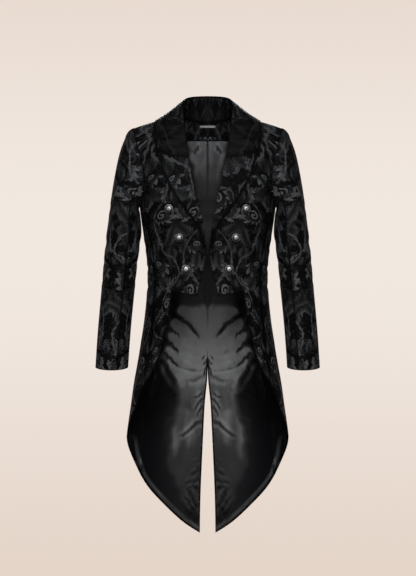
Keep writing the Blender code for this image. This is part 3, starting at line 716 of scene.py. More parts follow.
def cloth_lengths(kind, points):
    """Across and along the cloth for each point of a piece of this kind."""
    if kind == "body":
        turn = shoulder_turn(points)
        spare = SHOULDER_ROUND * (math.pi / 2.0 - 1.0 - (turn - (1.0 - np.cos(turn))))
        return round_body(points), points[:, 2] + spare
    if kind in ("top_sleeve", "under_sleeve"):
        away = points - arm_middle(points)
        outer = np.sign(points[:, 0]) * away[:, 0] * (1.0 if kind == "top_sleeve" else -1.0)
        return ARM_ROUND * np.arctan2(away[:, 1], outer), points[:, 2]
    if kind == "collar":
        turn = np.arctan2(points[:, 0], points[:, 1] - NECK_MIDDLE)
        out = np.hypot(points[:, 0], points[:, 1] - NECK_MIDDLE)
        return COLLAR_ROUND * turn, points[:, 2] - 0.5 * out
    return points[:, 0], points[:, 2]


def give_lengths(piece, kind):
    """Writes the cloth's two lengths on the piece."""
    across, along = cloth_lengths(kind, points_of(piece))
    carry(piece, "cloth_uv", np.column_stack([across, along, np.zeros(len(across))]))


def outward(kind, points):
    """The way out of the coat at each point, as smooth unit vectors."""
    if kind == "body":
        flat = np.stack([
            np.sign(points[:, 0]) * np.abs(points[:, 0] / BODY_HALF_WIDE) ** 1.4 / BODY_HALF_WIDE,
            np.sign(points[:, 1]) * np.abs(points[:, 1] / BODY_HALF_DEEP) ** 1.4 / BODY_HALF_DEEP,
        ], 1)
        flat /= np.maximum(np.linalg.norm(flat, axis=1, keepdims=True), 1e-9)
        turn = shoulder_turn(points)
        return np.column_stack([flat * np.sin(turn)[:, None], np.cos(turn)])
    if kind in ("top_sleeve", "under_sleeve"):
        away = points - arm_middle(points)
    elif kind == "collar":
        away = np.column_stack([points[:, 0], points[:, 1] - NECK_MIDDLE, np.full(len(points), 0.02)])
    else:
        away = np.column_stack([0.15 * points[:, 0], np.full(len(points), -0.1), 0.0 * points[:, 2]])
    return away / np.maximum(np.linalg.norm(away, axis=1, keepdims=True), 1e-9)


def close_seams(piece, kind):
    """Moves the rim sideways by a hair, so that sewn pieces meet and no light comes between."""
    points, normals, rim = points_of(piece), normals_of(piece), rim_points(piece)
    out = outward(kind, points)
    side = normals - (normals * out).sum(1)[:, None] * out
    side /= np.maximum(np.linalg.norm(side, axis=1, keepdims=True), 1e-6)
    points[rim] += SEAM_REACH * side[rim]
    move_to(piece, points)


print("length tools ready")

# %% [markdown]
# Cloth on a body doesn't lie in even waves. Each crease here is given as a path in the plane that
# one looks at, with its own width and depth. The path is dropped on the surface that faces that
# way, and the cloth near it sinks along the path and swells on both sides of it. The ends fade out.

# %% Crease tools
VIEWS = {
    # view: the two axes that are seen, and the way that the surface faces
    "front": ((0, 2), np.array([0.0, -1.0, 0.0])),
    "back": ((0, 2), np.array([0.0, 1.0, 0.0])),
    "left": ((1, 2), np.array([1.0, 0.0, 0.0])),
    "right": ((1, 2), np.array([-1.0, 0.0, 0.0])),
}
PATH_STEPS = 16
FACING_LEAST = 0.15
RING_AT = 1.7
TROUGH_RING = 0.45
RIDGE_RING = 0.20
VALLEY_REACH = 0.8


def smooth_step(value):
    value = np.clip(value, 0.0, 1.0)
    return value * value * (3.0 - 2.0 * value)


def dropped(points, normals, view, path):
    """A path in a view, in millimetres, as points on the surface that faces that way."""
    axes, way = VIEWS[view]
    path = np.array(path, float) / 1000.0
    parts = np.linspace(0.0, len(path) - 1.0, PATH_STEPS)
    bend = np.stack([np.interp(parts, np.arange(len(path)), path[:, k]) for k in (0, 1)], 1)
    bend[1:-1] = 0.25 * bend[:-2] + 0.5 * bend[1:-1] + 0.25 * bend[2:]
    facing = normals @ way > FACING_LEAST
    if not facing.any():
        return None
    candidates = points[facing]
    far = np.linalg.norm(candidates[:, None, list(axes)] - bend[None, :, :], axis=2)
    return candidates[far.argmin(0)]


def nearness(points, line):
    """Each point's distance from a line of points, and how far along the line that is."""
    starts, ends = line[:-1], line[1:]
    runs = ends - starts
    longs = np.maximum((runs * runs).sum(1), 1e-12)
    gap = np.full(len(points), 1e9)
    part = np.zeros(len(points))
    for k in range(len(starts)):
        share = np.clip(((points - starts[k]) @ runs[k]) / longs[k], 0.0, 1.0)
        away = np.linalg.norm(points - starts[k] - share[:, None] * runs[k], axis=1)
        closer = away < gap
        gap[closer] = away[closer]
        part[closer] = (k + share[closer]) / len(starts)
    return gap, part


def crease_height(points, line, width, depth, form, taper=0.0, fades=(0.28, 0.28)):
    """How far the cloth moves near a crease, in metres, and how near each point is to its middle."""
    gap, part = nearness(points, line)
    across = gap / (width / 1000.0 * (1.0 + taper * (0.5 - part)))
    ends = smooth_step(part / fades[0]) * smooth_step((1.0 - part) / fades[1])
    ring = np.exp(-((across - RING_AT) ** 2))
    dip = np.exp(-(across**2))
    shapes = {"trough": TROUGH_RING * ring - dip, "ridge": dip - RIDGE_RING * ring, "pair": ring}
    return depth / 1000.0 * ends * shapes[form], ends * np.exp(-((across / VALLEY_REACH) ** 2))


def rim_gap(piece, points):
    """Each point's distance from the rim of its piece, where it is sewn or hemmed."""
    rim = points[rim_points(piece)]
    finder = KDTree(len(rim))
    for number, point in enumerate(rim):
        finder.insert(point, number)
    finder.balance()
    return np.array([finder.find(point)[2] for point in points])


def unevenness(points, size, seed):
    """A slow, smooth wandering of the surface, between about -1 and 1."""
    random = np.random.default_rng(seed)
    total = np.zeros(len(points))
    for _ in range(9):
        way = random.normal(size=3)
        way /= np.linalg.norm(way)
        pace = TURN / (size * random.uniform(0.7, 1.6))
        total += np.sin(points @ way * pace + random.uniform(0.0, TURN))
    return total / 4.0


print("crease tools ready")

# %% [markdown]
# The creases of the shell are few, as the coat is cut close. The sleeves pull in a little at the
# elbow and the crown, the fronts pull towards the buttons, and the skirts hang in slow waves. The
# back and the sides, which the photograph hides, get creases of the same kind where a body bends.
# All of them are given for one side, in the coat's own millimetres, and mirrored.

# %% Creases of the shell
SHELL_CREASES = (
    # part, view, path, width, depth
    ("sleeve", "front", ((190, -178), (204, -190), (226, -196)), 8.0, 1.2),
    ("sleeve", "front", ((188, -205), (205, -222), (232, -232)), 9.2, 1.5),
    ("sleeve", "front", ((184, -300), (203, -313), (236, -318), (262, -312)), 9.2, 1.7),
    ("sleeve", "front", ((188, -352), (215, -345), (248, -352)), 8.0, 1.4),
    ("sleeve", "front", ((196, -392), (226, -398), (262, -388)), 7.5, 1.1),
    ("sleeve", "front", ((206, -448), (236, -462), (270, -456)), 8.6, 1.0),
    ("sleeve", "front", ((214, -520), (244, -538), (278, -536)), 6.9, 0.8),
    ("sleeve", "back", ((196, -282), (222, -300), (258, -296)), 10.3, 1.5),
    ("sleeve", "back", ((200, -338), (232, -352), (266, -346)), 8.6, 1.8),
    ("sleeve", "back", ((202, -386), (236, -392), (268, -380)), 9.2, 1.3),
    ("sleeve", "back", ((190, -150), (206, -176), (232, -190)), 10.3, 1.3),
    ("sleeve", "back", ((212, -470), (238, -486), (272, -482)), 8.0, 0.9),
    ("sleeve", "left", ((40, -214), (14, -232), (-22, -238)), 9.2, 1.1),
    ("sleeve", "left", ((30, -322), (0, -338), (-38, -332)), 9.8, 1.3),
    ("sleeve", "left", ((20, -420), (-12, -430), (-44, -418)), 8.0, 0.9),
    ("sleeve", "right", ((30, -300), (0, -322), (-34, -330)), 9.2, 1.3),
    ("sleeve", "right", ((22, -372), (-6, -384), (-40, -384)), 8.0, 1.1),
    ("front", "front", ((166, -158), (150, -196), (143, -240)), 9.0, 1.8),
    ("front", "front", ((158, -262), (134, -288), (104, -300)), 8.0, 1.6),
    ("front", "front", ((154, -352), (128, -360), (96, -352)), 7.0, 1.4),
    ("front", "front", ((150, -408), (122, -420), (86, -414)), 8.0, 1.8),
    ("front", "front", ((136, -470), (120, -520), (112, -585)), 11.0, 1.8),
    ("front", "front", ((158, -480), (154, -560), (160, -640)), 13.0, 2.4),
    ("side", "left", ((70, -300), (30, -330), (-20, -344)), 8.0, 2.0),
    ("side", "left", ((84, -388), (36, -402), (-30, -396)), 7.0, 2.2),
    ("side", "left", ((60, -440), (20, -450), (-36, -440)), 9.0, 1.6),
    ("side", "left", ((40, -520), (36, -640), (44, -800)), 14.0, 2.6),
    ("side", "left", ((-18, -540), (-24, -660), (-16, -770)), 13.0, 2.2),
    ("back", "back", ((150, -96), (128, -128), (118, -176)), 10.0, 1.8),
    ("back", "back", ((112, -262), (76, -300), (30, -318)), 9.0, 1.6),
    ("back", "back", ((120, -372), (80, -386), (26, -378)), 8.0, 2.2),
    ("back", "back", ((128, -424), (92, -430), (46, -416)), 7.0, 1.8),
    ("back", "back", ((100, -480), (96, -580), (104, -700)), 12.0, 2.4),
    ("back", "back", ((52, -520), (46, -660), (52, -830)), 14.0, 2.2),
    ("back", "back", ((140, -520), (142, -650), (148, -780)), 13.0, 2.0),
)
print("shell creases a side:", len(SHELL_CREASES))

# %% [markdown]
# The lining shows inside the neck and below the open fronts, so its folds were read closely. It is
# cut longer than the shell and hangs in it, so it folds where the fronts part: a few deep
# folds run down from the waist to the middle, and fine wrinkles fan out from the top of the vent.
# A lining can only swell inwards, because the shell is close behind it. So its folds are pairs of
# soft ridges with a valley between them.

# %% Folds of the lining
LINING_FOLDS = (
    # path, width, height, form, painted shade in its valley
    (((-112, -520), (-90, -526), (-66, -542), (-40, -562), (-24, -584), (-14, -602)),
     10.0, 4.8, "pair", 0.99),
    (((-112, -560), (-90, -572), (-62, -598)), 9.0, 3.2, "pair", 0.90),
    (((-126, -588), (-108, -600), (-88, -622), (-66, -650)), 12.0, 4.2, "pair", 0.98),
    (((-120, -626), (-98, -650), (-70, -676)), 9.0, 3.2, "pair", 0.92),
    (((-132, -640), (-114, -668), (-94, -706), (-78, -752)), 15.0, 5.0, "pair", 1.00),
    (((-6, -470), (-1, -500), (0, -540), (0, -590)), 5.0, 1.2, "pair", 0.35),
    (((-76, -552), (-62, -566), (-50, -590)), 7.0, 2.0, "ridge", 0.0),
    (((-104, -650), (-72, -670), (-36, -678), (0, -677)), 6.0, 2.2, "pair", 0.45),
    (((-90, -640), (-70, -654), (-44, -662)), 7.0, 2.0, "ridge", 0.0),
    (((-60, -620), (-40, -634), (-14, -640)), 8.0, 1.6, "pair", 0.30),
    (((-10, -690), (-34, -704), (-60, -706)), 6.0, 1.6, "pair", 0.30),
    (((-150, -694), (-128, -720), (-108, -744)), 5.0, 2.6, "ridge", 0.0),
    (((-12, -815), (-36, -826), (-62, -852), (-88, -861)), 4.6, 2.2, "pair", 0.75),
    (((-14, -738), (-24, -748), (-44, -752)), 3.2, 1.4, "pair", 0.70),
    (((-12, -752), (-26, -768), (-38, -790)), 3.0, 1.4, "pair", 0.65),
    (((-14, -776), (-24, -790), (-30, -806)), 2.8, 1.2, "pair", 0.60),
    (((-16, -920), (-30, -930), (-46, -926)), 3.2, 1.2, "pair", 0.55),
    (((-18, -946), (-34, -958), (-52, -964)), 4.0, 1.5, "pair", 0.85),
    (((-20, -972), (-34, -984), (-52, -982), (-66, -988)), 4.4, 1.8, "pair", 0.90),
    (((-26, -1000), (-40, -994), (-58, -1002)), 4.0, 1.6, "pair", 0.90),
    (((-28, -1052), (-44, -1018), (-64, -992)), 5.6, 2.2, "pair", 1.00),
    (((-38, -1062), (-54, -1034), (-72, -1018)), 4.6, 1.8, "pair", 0.98),
    (((-26, -1080), (-38, -1058), (-50, -1040)), 4.2, 1.6, "pair", 0.90),
    (((-4, -636), (-12, -642), (-16, -650)), 2.2, 1.0, "pair", 0.90),
    (((-3, -652), (-9, -656), (-14, -664)), 2.2, 1.0, "pair", 0.90),
    (((-2, -640), (-3, -668), (-2, -700)), 3.0, 1.2, "pair", 0.95),
    (((-5, -668), (-9, -680), (-8, -694)), 2.4, 1.0, "pair", 0.90),
    (((-22, -66), (-30, -76), (-40, -86)), 3.0, 1.6, "pair", 0.60),
    (((-70, -96), (-52, -146), (-34, -186)), 11.0, 1.6, "pair", 0.20),
    (((-96, -800), (-92, -880), (-86, -950)), 16.0, 2.0, "ridge", 0.0),
    (((-84, -512), (-58, -520), (-22, -524)), 6.0, 1.8, "ridge", 0.0),
    (((-92, -584), (-70, -604), (-52, -628)), 6.0, 2.2, "ridge", 0.0),
    (((-104, -610), (-82, -632), (-58, -648)), 6.0, 2.2, "ridge", 0.0),
    (((-112, -648), (-88, -684), (-70, -730)), 7.0, 2.4, "ridge", 0.0),
    (((-66, -536), (-40, -548), (-12, -552)), 5.0, 1.2, "pair", 0.28),
    (((-84, -566), (-60, -582), (-34, -592), (-8, -594)), 5.0, 1.4, "pair", 0.34),
    (((-52, -780), (-50, -850), (-54, -900)), 13.0, 1.4, "ridge", 0.0),
)
LINING_SIDE_FOLDS = (
    (((60, -560), (30, -600), (-10, -640)), 11.0, 3.0, "pair", 0.50),
    (((70, -660), (40, -700), (6, -760)), 12.0, 3.0, "pair", 0.50),
)
print("lining folds a side:", len(LINING_FOLDS), "and", len(LINING_SIDE_FOLDS))

# %% [markdown]
# Satin shines where it is stretched over something and stays black where it hangs back into the
# coat in shade. This shine and shade are painted: each point of the lining gets a painted light
# value, 0 for black and about 1 for bright, and the satin's colour follows it. Tables give it down the
# middle and give the width of the painted bright cloth, and painted shade in the valleys and on the
# turned-up hem of the tails takes it away again, while a painted highlight lies along the hem's edge.

# %% Painted light and shade of the lining
PAINTED_LIGHT_DOWN = np.array([
    # height in mm, painted light near the middle
    (0, 0.66), (-54, 0.64), (-110, 0.58), (-150, 0.42), (-190, 0.18), (-215, 0.04), (-385, 0.02),
    (-405, 0.18), (-470, 0.16), (-492, 0.26), (-512, 1.00), (-560, 1.20), (-650, 1.14), (-690, 0.78),
    (-725, 0.64), (-800, 0.54), (-860, 0.48), (-900, 0.36), (-1000, 0.25), (-1130, 0.16),
])
PAINTED_LIGHT_WIDE = np.array([
    # height in mm, half width of the cloth that gets painted highlight
    (0, 70), (-54, 52), (-110, 42), (-190, 27), (-235, 20), (-400, 60), (-500, 74), (-545, 96),
    (-610, 112), (-660, 128), (-700, 112), (-745, 74), (-802, 88),
    (-861, 101), (-918, 107), (-950, 104), (-991, 86), (-1023, 72), (-1077, 56), (-1130, 40),
])
PAINTED_LIGHT_EDGE = 22.0
TAIL_HEM = np.array([
    (21.6, -1121.0), (65.0, -1094.0), (102.0, -1060.0), (133.5, -1027.0), (161.8, -994.0),
    (183.1, -961.0), (200.0, -910.0), (207.0, -862.0),
])
# Bands measured in from the tails' hem: a painted highlight strip at the edge, then a painted shade
# strip.
HEM_PAINTED_HIGHLIGHT_BAND = (5.0, 15.0)
HEM_PAINTED_SHADE_BAND = (14.0, 38.0)
HEM_PAINTED_HIGHLIGHT_LEVEL = 0.50
# How much painted highlight a fold's ridges get, and the width, reach and strength of the painted shade
# along the middle seam.
RIDGE_PAINTED_HIGHLIGHT = 0.42
SEAM_WIDE = 2.6
SEAM_END = -215.0
SEAM_PAINTED_SHADE = 0.75
HEM_START = -840.0
FADE_HIGH = 40.0


def band(values, low, high, soft):
    """1 between low and high, falling to 0 over soft on both sides."""
    return smooth_step((values - low) / soft + 0.5) * smooth_step((high - values) / soft + 0.5)


def lining_painted_light(points):
    """Painted light and shade on the satin at each point, before its own folds."""
    wide, height = 1000.0 * np.abs(points[:, 0]), 1000.0 * points[:, 2]
    middle = np.interp(-height, -PAINTED_LIGHT_DOWN[:, 0], PAINTED_LIGHT_DOWN[:, 1])
    reach = np.interp(-height, -PAINTED_LIGHT_WIDE[:, 0], PAINTED_LIGHT_WIDE[:, 1])
    reach = reach + 6.0 * unevenness(points * np.array([0.0, 0.0, 1.0]), 0.10, 5)
    reach = reach + 3.0 * unevenness(points * np.array([0.6, 0.0, 1.0]), 0.03, 6)
    total = middle * smooth_step((reach - wide) / PAINTED_LIGHT_EDGE + 0.5)
    hem = np.full(len(points), 1e9)
    flat = np.column_stack([wide, height])
    for start, stop in zip(TAIL_HEM[:-1], TAIL_HEM[1:]):
        run = stop - start
        share = np.clip((flat - start) @ run / (run @ run), 0.0, 1.0)
        hem = np.minimum(hem, np.linalg.norm(flat - start - share[:, None] * run, axis=1))
    # Painted shade in a strip inside the hem.
    total *= 1.0 - band(hem, *HEM_PAINTED_SHADE_BAND, 5.0)
    # Painted shade along the middle seam of the back, in its upper part.
    painted_seam_shade = np.exp(-((wide / SEAM_WIDE) ** 2)) * smooth_step((height - SEAM_END) / FADE_HIGH)
    total *= 1.0 - SEAM_PAINTED_SHADE * painted_seam_shade
    # Painted highlight along the hem's edge, low on the tails.
    hem_painted_highlight = band(hem, *HEM_PAINTED_HIGHLIGHT_BAND, 3.0) * smooth_step((HEM_START - height) / FADE_HIGH)
    return np.maximum(total, HEM_PAINTED_HIGHLIGHT_LEVEL * hem_painted_highlight)


print("lustre rows:", len(PAINTED_LIGHT_DOWN), "down,", len(PAINTED_LIGHT_WIDE), "wide")

# %% [markdown]
# Now each wall is made into its cloth. The copy gets its lengths, its rim is closed against its
# neighbours, and its creases move it. The brocade gets painted shade in creases, along seams and
# where a turned edge throws a shadow. A lining follows the shell's creases, and then swells in its
# own folds, with painted shade in their valleys and painted highlight on their ridges.

# %% Making the cloth pieces
SHELL_WAVE = 0.0005
SHELL_WAVE_LONG = 0.11
# How much painted shade the brocade gets in crease valleys and along its rims, and how wide the painted
# shade at a rim is.
VALLEY_PAINTED_SHADE = 0.16
RIM_PAINTED_SHADE = 0.62
RIM_SHADE = 0.0024
SIDES = {"left": 1.0, "right": -1.0}
OTHER_SIDE = {"left": "right", "right": "left"}
PIECES = {}


def on_side(path, view, side):
    """A path that was given for one side, mirrored for the other."""
    if view in ("front", "back"):
        return [(side * x, z) for x, z in path]
    return path


def shell_move(part, side_name, points, normals):
    """The shell's own displacement at these points, outwards."""
    side = SIDES[side_name]
    mirrored = points * np.array([side, 1.0, 1.0])
    total = SHELL_WAVE * unevenness(mirrored, SHELL_WAVE_LONG, 3)
    valleys = np.zeros(len(points))
    for owner, view, path, width, depth in SHELL_CREASES:
        if owner != part:
            continue
        seen = view if side > 0 or view in ("front", "back") else OTHER_SIDE[view]
        line = dropped(points, normals, seen, on_side(path, view, side))
        if line is not None:
            moved, near = crease_height(points, line, width, depth, "trough")
            total += moved
            valleys = np.maximum(valleys, near)
    return total, valleys


SHADOW_LINES = (
    # part, path, width and darkness of the shade that a turned edge throws
    ("front", ((131.5, -87), (110, -151), (81, -205), (59.4, -235), (40, -259), (25.7, -278),
               (8.5, -339)), 5.0, 0.92),
    ("front", ((133, -87), (140, -52), (142, -20), (142, -6)), 5.0, 0.85),
    ("back", ((120, -9), (72, -13), (0, -15)), 5.0, 0.80),
)


def shell_painted_shade(piece, part, side_name, points, normals, valleys):
    """Painted shade on the brocade at each point: darker in creases, along seams and beside the lapel.
    """
    total = 1.0 - VALLEY_PAINTED_SHADE * valleys
    total *= 1.0 - RIM_PAINTED_SHADE * np.exp(-((rim_gap(piece, points) / RIM_SHADE) ** 2))
    for owner, path, width, painted_darkness in SHADOW_LINES:
        if owner == part:
            line = dropped(points, normals, part, on_side(path, part, SIDES[side_name]))
            gap, _ = nearness(points, line)
            total *= 1.0 - painted_darkness * np.exp(-((1000.0 * gap / width) ** 2))
    return total


def make_cloth(node_name, kind, part, side_name, rounds, material, slot):
    """One cloth piece, creased, with its lengths and its material."""
    piece = fine_copy(node_name, "cloth_" + node_name, rounds)
    give_lengths(piece, kind)
    close_seams(piece, kind)
    points, normals = points_of(piece), normals_of(piece)
    valleys = np.zeros(len(points))
    if part is not None:
        moved, valleys = shell_move(part, side_name, points, normals)
        move_to(piece, points + outward(kind, points) * moved[:, None])
    if slot == "brocade":
        carry(piece, "painted_light_and_shade", shell_painted_shade(piece, part, side_name, points, normals, valleys))
    piece.data.materials.append(material)
    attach(piece, "root")
    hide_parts(node_name)
    PIECES[node_name] = piece
    return piece


SHELL_PIECES = (
    # part, kind, rounds, material, flat size, area, what it hangs from
    ("back", "body", 3, BROCADE, (0.27, 1.14), 0.183, "collar"),
    ("side", "body", 3, BROCADE, (0.17, 0.78), 0.104, "back"),
    ("front", "body", 3, BROCADE, (0.21, 0.80), 0.087, "back"),
    ("sleeve_top", "top_sleeve", 3, BROCADE_SLEEVE, (0.24, 0.68), 0.120, "back"),
    ("sleeve_under", "under_sleeve", 3, BROCADE_SLEEVE, (0.15, 0.54), 0.063, "side"),
    ("lapel", "turn", 2, BROCADE_LAPEL, (0.10, 0.27), 0.0122, "front"),
)
for part, kind, rounds, material, flat, area, from_part in SHELL_PIECES:
    for side_name in SIDES:
        hangs = from_part if from_part == "collar" else from_part + "_" + side_name
        owner = "sleeve" if "sleeve" in part else part
        make_cloth(
            part + "_" + side_name, kind, owner if part != "lapel" else None, side_name, rounds,
            material, "brocade",
        )
make_cloth("collar", "collar", None, "left", 2, BROCADE_COLLAR, "brocade")
make_cloth("neck_facing", "body", None, "left", 2, BROCADE, "brocade")
print("shell pieces:", len(PIECES))


FOLD_TAPER = 0.75
FOLD_FADES = (0.08, 0.34)
SLACK_LEAST = 0.0004
SLACK_MORE = 0.0009
SLACK_LONG = 0.10


def make_lining(part, side_name):
    """A lining piece: it follows the creases of the shell and swells inwards in its own folds, with
    painted shade in their valleys and painted highlight on their ridges.
    """
    side = SIDES[side_name]
    piece = make_cloth("lining_" + part + "_" + side_name, "body", None, side_name, 3, SATIN, "satin")
    points, normals = points_of(piece), normals_of(piece)
    follow, _ = shell_move(part, side_name, points, -normals)
    slack = unevenness(points * np.array([side, 1.0, 1.0]), SLACK_LONG, 11)
    swell = SLACK_LEAST + SLACK_MORE * np.clip(slack, 0, 1)
    painted_light_and_shade = lining_painted_light(points)
    for view, table in (("front", LINING_FOLDS), (OTHER_SIDE[side_name], LINING_SIDE_FOLDS)):
        for path, width, depth, form, painted_darkness in table:
            line = dropped(points, normals, view, on_side(path, view, -side))
            if line is not None:
                moved, near = crease_height(points, line, width, depth, form, FOLD_TAPER, FOLD_FADES)
                swell += np.maximum(moved, 0.0)
                ridge = np.clip(moved / (0.001 * depth), 0.0, 1.0)
                # Painted shade in each fold's valley and painted highlight on its ridges.
                painted_light_and_shade *= (1.0 - painted_darkness * near) * (1.0 + RIDGE_PAINTED_HIGHLIGHT * ridge)
    move_to(piece, points + outward("body", points) * (follow - swell)[:, None])
    carry(piece, "painted_light_and_shade", painted_light_and_shade)


for side_name in SIDES:
    make_lining("back", side_name)
    make_lining("side", side_name)
print("all cloth pieces:", len(PIECES))

# %% [markdown]
# The buttons are domed metal ones, sewn on by a short shank. Such a button is a turned shape, so it
# starts as a flat cylinder. Its front face is inset again and again, each time with a small rise or
# fall, which gives the rim, the groove inside it and the dome. Its back face is drawn out as shank.
# One button is made at the centre, and each of the six is a copy with its own mesh.

# %% Pewter
def pewter(name):
    """Cast metal with a plain rosette in low relief, darker in its hollows, with painted shade below
    its middle.
    """
    made, tree, shader = new_material(name)
    right, up = two_lengths(tree, "button_place")
    far = (right * right + up * up).sum_of("SQRT")
    angle = up.sum_of("ARCTAN2", right)
    petal = (angle * 4.0).sum_of("COSINE").size().sum_of("POWER", 0.7)
    rosette = (petal * 0.0042 + 0.0030 - far).step(-0.0004, 0.0006) * far.step(0.0016, 0.0022)
    core = far.step(0.0014, 0.0008)
    rope = (angle * 40.0 + far * 5200.0).sum_of("SINE") * 0.5 + 0.5
    rope = rope * (far - 0.0108).size().step(0.0010, 0.0005)
    scratched = noise(tree, carried(tree, "button_place", "Vector"), 420.0, 4.0, 0.65)
    worn = Term(tree, scratched.outputs["Fac"])
    raised = rosette.most(core).most(rope * 0.8)
    # Painted shade: the lower part of the face is darkened.
    lower_painted_shade = (up * 38.0 + 0.62).sum_of("ADD", 0.0, clamp=True)
    tone = (raised * 0.66 + 0.16 + (worn - 0.5) * 0.6) * lower_painted_shade
    colour = ramp(tree, tone.socket, [
        (0.0, (0.004, 0.004, 0.004)), (0.40, (0.060, 0.061, 0.062)), (1.0, (0.300, 0.302, 0.305))])
    link(tree, colour, shader.inputs["Base Color"])
    set_plain(shader, Metallic=1.0)
    link(tree, (worn * 0.24 + 0.40).socket, shader.inputs["Roughness"])
    add_relief(tree, shader, raised * 0.00028 + worn * 0.00006, 1.0)
    return made


PEWTER = pewter("pewter_cast")
print("metal ready")

# %% One button at the centre
BUTTON_RADIUS = 0.0118
BUTTON_SIDES = 56
BUTTON_EDGE = 0.00018
PLATE_UNDER = 0.0020
PLATE_THICK = 0.0012
SHANK_RADIUS = 0.0026
SHANK_LONG = 0.0018
FACE_STEPS = (
    # inset, rise
    (0.0004, 0.0006),
    (0.0009, 0.0003),
    (0.0005, -0.0008),
    (0.0004, 0.0000),
    (0.0009, 0.0012),
    (0.0017, 0.0011),
    (0.0022, 0.0008),
    (0.0021, 0.0004),
    (0.0018, 0.0001),
)


def choose_cap(piece, way):
    """Selects the one flat end that faces up or down."""
    piece.data.polygons.foreach_set("select", [
        face.normal.z * way > 0.9 and len(face.vertices) > 8 for face in piece.data.polygons])
    bpy.ops.object.mode_set(mode="EDIT")
    bpy.ops.mesh.select_mode(type="FACE")


clear_choice()
bpy.ops.mesh.primitive_cylinder_add(
    vertices=BUTTON_SIDES, radius=BUTTON_RADIUS, depth=PLATE_THICK,
    location=(0.0, 0.0, PLATE_UNDER + PLATE_THICK / 2.0))
button_start = bpy.context.object
button_start.name = "button_start"
bpy.ops.object.transform_apply(location=True)
bpy.ops.object.mode_set(mode="EDIT")
bpy.ops.mesh.select_all(action="DESELECT")
bpy.ops.object.mode_set(mode="OBJECT")
choose_cap(button_start, 1.0)
for inset, rise in FACE_STEPS:
    bpy.ops.mesh.inset(thickness=inset, depth=rise)
bpy.ops.mesh.select_all(action="DESELECT")
bpy.ops.object.mode_set(mode="OBJECT")
choose_cap(button_start, -1.0)
bpy.ops.mesh.inset(thickness=BUTTON_RADIUS - SHANK_RADIUS, depth=0.0)
bpy.ops.mesh.extrude_region_move(TRANSFORM_OT_translate={"value": (0.0, 0.0, -SHANK_LONG)})
bpy.ops.object.mode_set(mode="OBJECT")
soft = button_start.modifiers.new("soft_edges", "BEVEL")
soft.width = BUTTON_EDGE
soft.segments = 2
soft.limit_method = "ANGLE"
bpy.ops.object.modifier_apply(modifier="soft_edges")
bpy.ops.object.shade_smooth_by_angle(angle=math.radians(50.0))
print("button faces:", len(button_start.data.polygons))

# %% The six buttons
for number in range(1, 7):
    node_name = "button_" + str(number)
    walls = points_of(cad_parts[node_name])
    middle = walls.mean(axis=0)
    _, _, ways = np.linalg.svd(walls - middle)
    out = Vector(ways[2])
    if out.y > 0.0:
        out.negate()
    seat = Vector(middle) + out * float(((walls - middle) @ np.array(out)).min())
    button = bpy.data.objects.new("domed_" + node_name, button_start.data.copy())
    bpy.context.scene.collection.objects.link(button)
    local = points_of(button)
    carry(button, "button_place", local)
    across = Vector((0.0, 0.0, 1.0)).cross(out).normalized()
    upward = out.cross(across)
    frame_rows = np.array([across, upward, out])
    move_to(button, local @ frame_rows + np.array(seat))
    button.data.materials.append(PEWTER)
    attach(button, "root")
    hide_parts(node_name)
    print(node_name, "at", [round(v, 4) for v in seat])
bpy.data.objects.remove(button_start, do_unlink=True)

# %% [markdown]
# Inside the neck a narrow strip of plain woven tape carries no writing here. It is sewn to the
# facing at its two ends, with a few stitches of thread at each.

# %% Label and its stitches
def woven_tape(name):
    """Pale tape with a visible weave."""
    made, tree, shader = new_material(name)
    across, along = cloth_place(tree)
    warp, weft = wave(across, 0.0007), wave(along, 0.0005)
    slow = noise(tree, object_place(tree), 160.0, 3.0)
    tone = warp * 0.18 + weft * 0.18 + Term(tree, slow.outputs["Fac"]) * 0.5
    colour = ramp(tree, tone.socket, [(0.2, (0.045, 0.043, 0.040)), (0.8, (0.110, 0.106, 0.100))])
    link(tree, colour, shader.inputs["Base Color"])
    set_plain(shader, Roughness=0.7, Specular_IOR_Level=0.1)
    add_relief(tree, shader, warp * weft * 0.00008, 1.0)
    return made


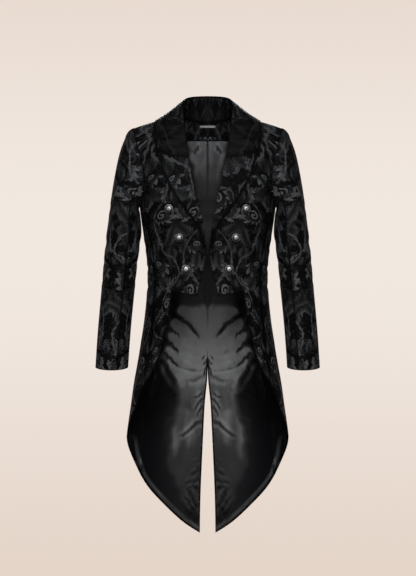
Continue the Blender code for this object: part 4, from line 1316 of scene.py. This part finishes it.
STITCH_X = 0.0195
STITCH_APART = 0.0016
STITCH_LONG = 0.0026
STITCH_RADIUS = 0.00022

tape = fine_copy("label", "label_tape", 2)
give_lengths(tape, "body")
tape.data.materials.append(woven_tape("tape_weave"))
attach(tape, "root")
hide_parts("label")

thread_black, tree, shader = new_material("thread_black")
ply = node(tree, "ShaderNodeTexWave", [
    ("Vector", object_place(tree)), ("Scale", 900.0), ("Distortion", 2.0)])
link(tree, ramp(tree, ply.outputs["Fac"], [(0.0, (0.002, 0.002, 0.002)), (1.0, (0.012, 0.012, 0.012))]),
     shader.inputs["Base Color"])
set_plain(shader, Roughness=0.6, Specular_IOR_Level=0.1)

points, normals = points_of(tape), normals_of(tape)
front = points[normals[:, 1] < -0.4]
tape_middle = (front[:, 2].min() + front[:, 2].max()) / 2.0
stitches = []
for side in (-1.0, 1.0):
    for row in (-1.0, 0.0, 1.0):
        wanted = np.array([side * STITCH_X, tape_middle + row * STITCH_APART])
        seat = front[np.linalg.norm(front[:, [0, 2]] - wanted, axis=1).argmin()]
        clear_choice()
        bpy.ops.mesh.primitive_cylinder_add(
            vertices=8, radius=STITCH_RADIUS, depth=STITCH_LONG, rotation=(0.0, math.pi / 2.0, 0.0),
            location=(seat[0] + side * STITCH_LONG * 0.4, seat[1] - STITCH_RADIUS * 0.6, seat[2]))
        stitch = bpy.context.object
        rounded = stitch.modifiers.new("rounded", "BEVEL")
        rounded.width = STITCH_RADIUS * 0.8
        rounded.segments = 2
        bpy.ops.object.modifier_apply(modifier="rounded")
        bpy.ops.object.transform_apply(location=True, rotation=True)
        bpy.ops.object.shade_smooth_by_angle(angle=math.radians(60.0))
        stitches.append(stitch)
clear_choice()
for stitch in stitches:
    stitch.select_set(True)
bpy.context.view_layer.objects.active = stitches[0]
bpy.ops.object.join()
sewing = bpy.context.object
sewing.name = "label_stitches"
bpy.ops.object.transform_apply(location=True)
sewing.data.materials.append(thread_black)
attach(sewing, "root")
print("label faces:", len(tape.data.polygons), "stitches:", len(stitches))
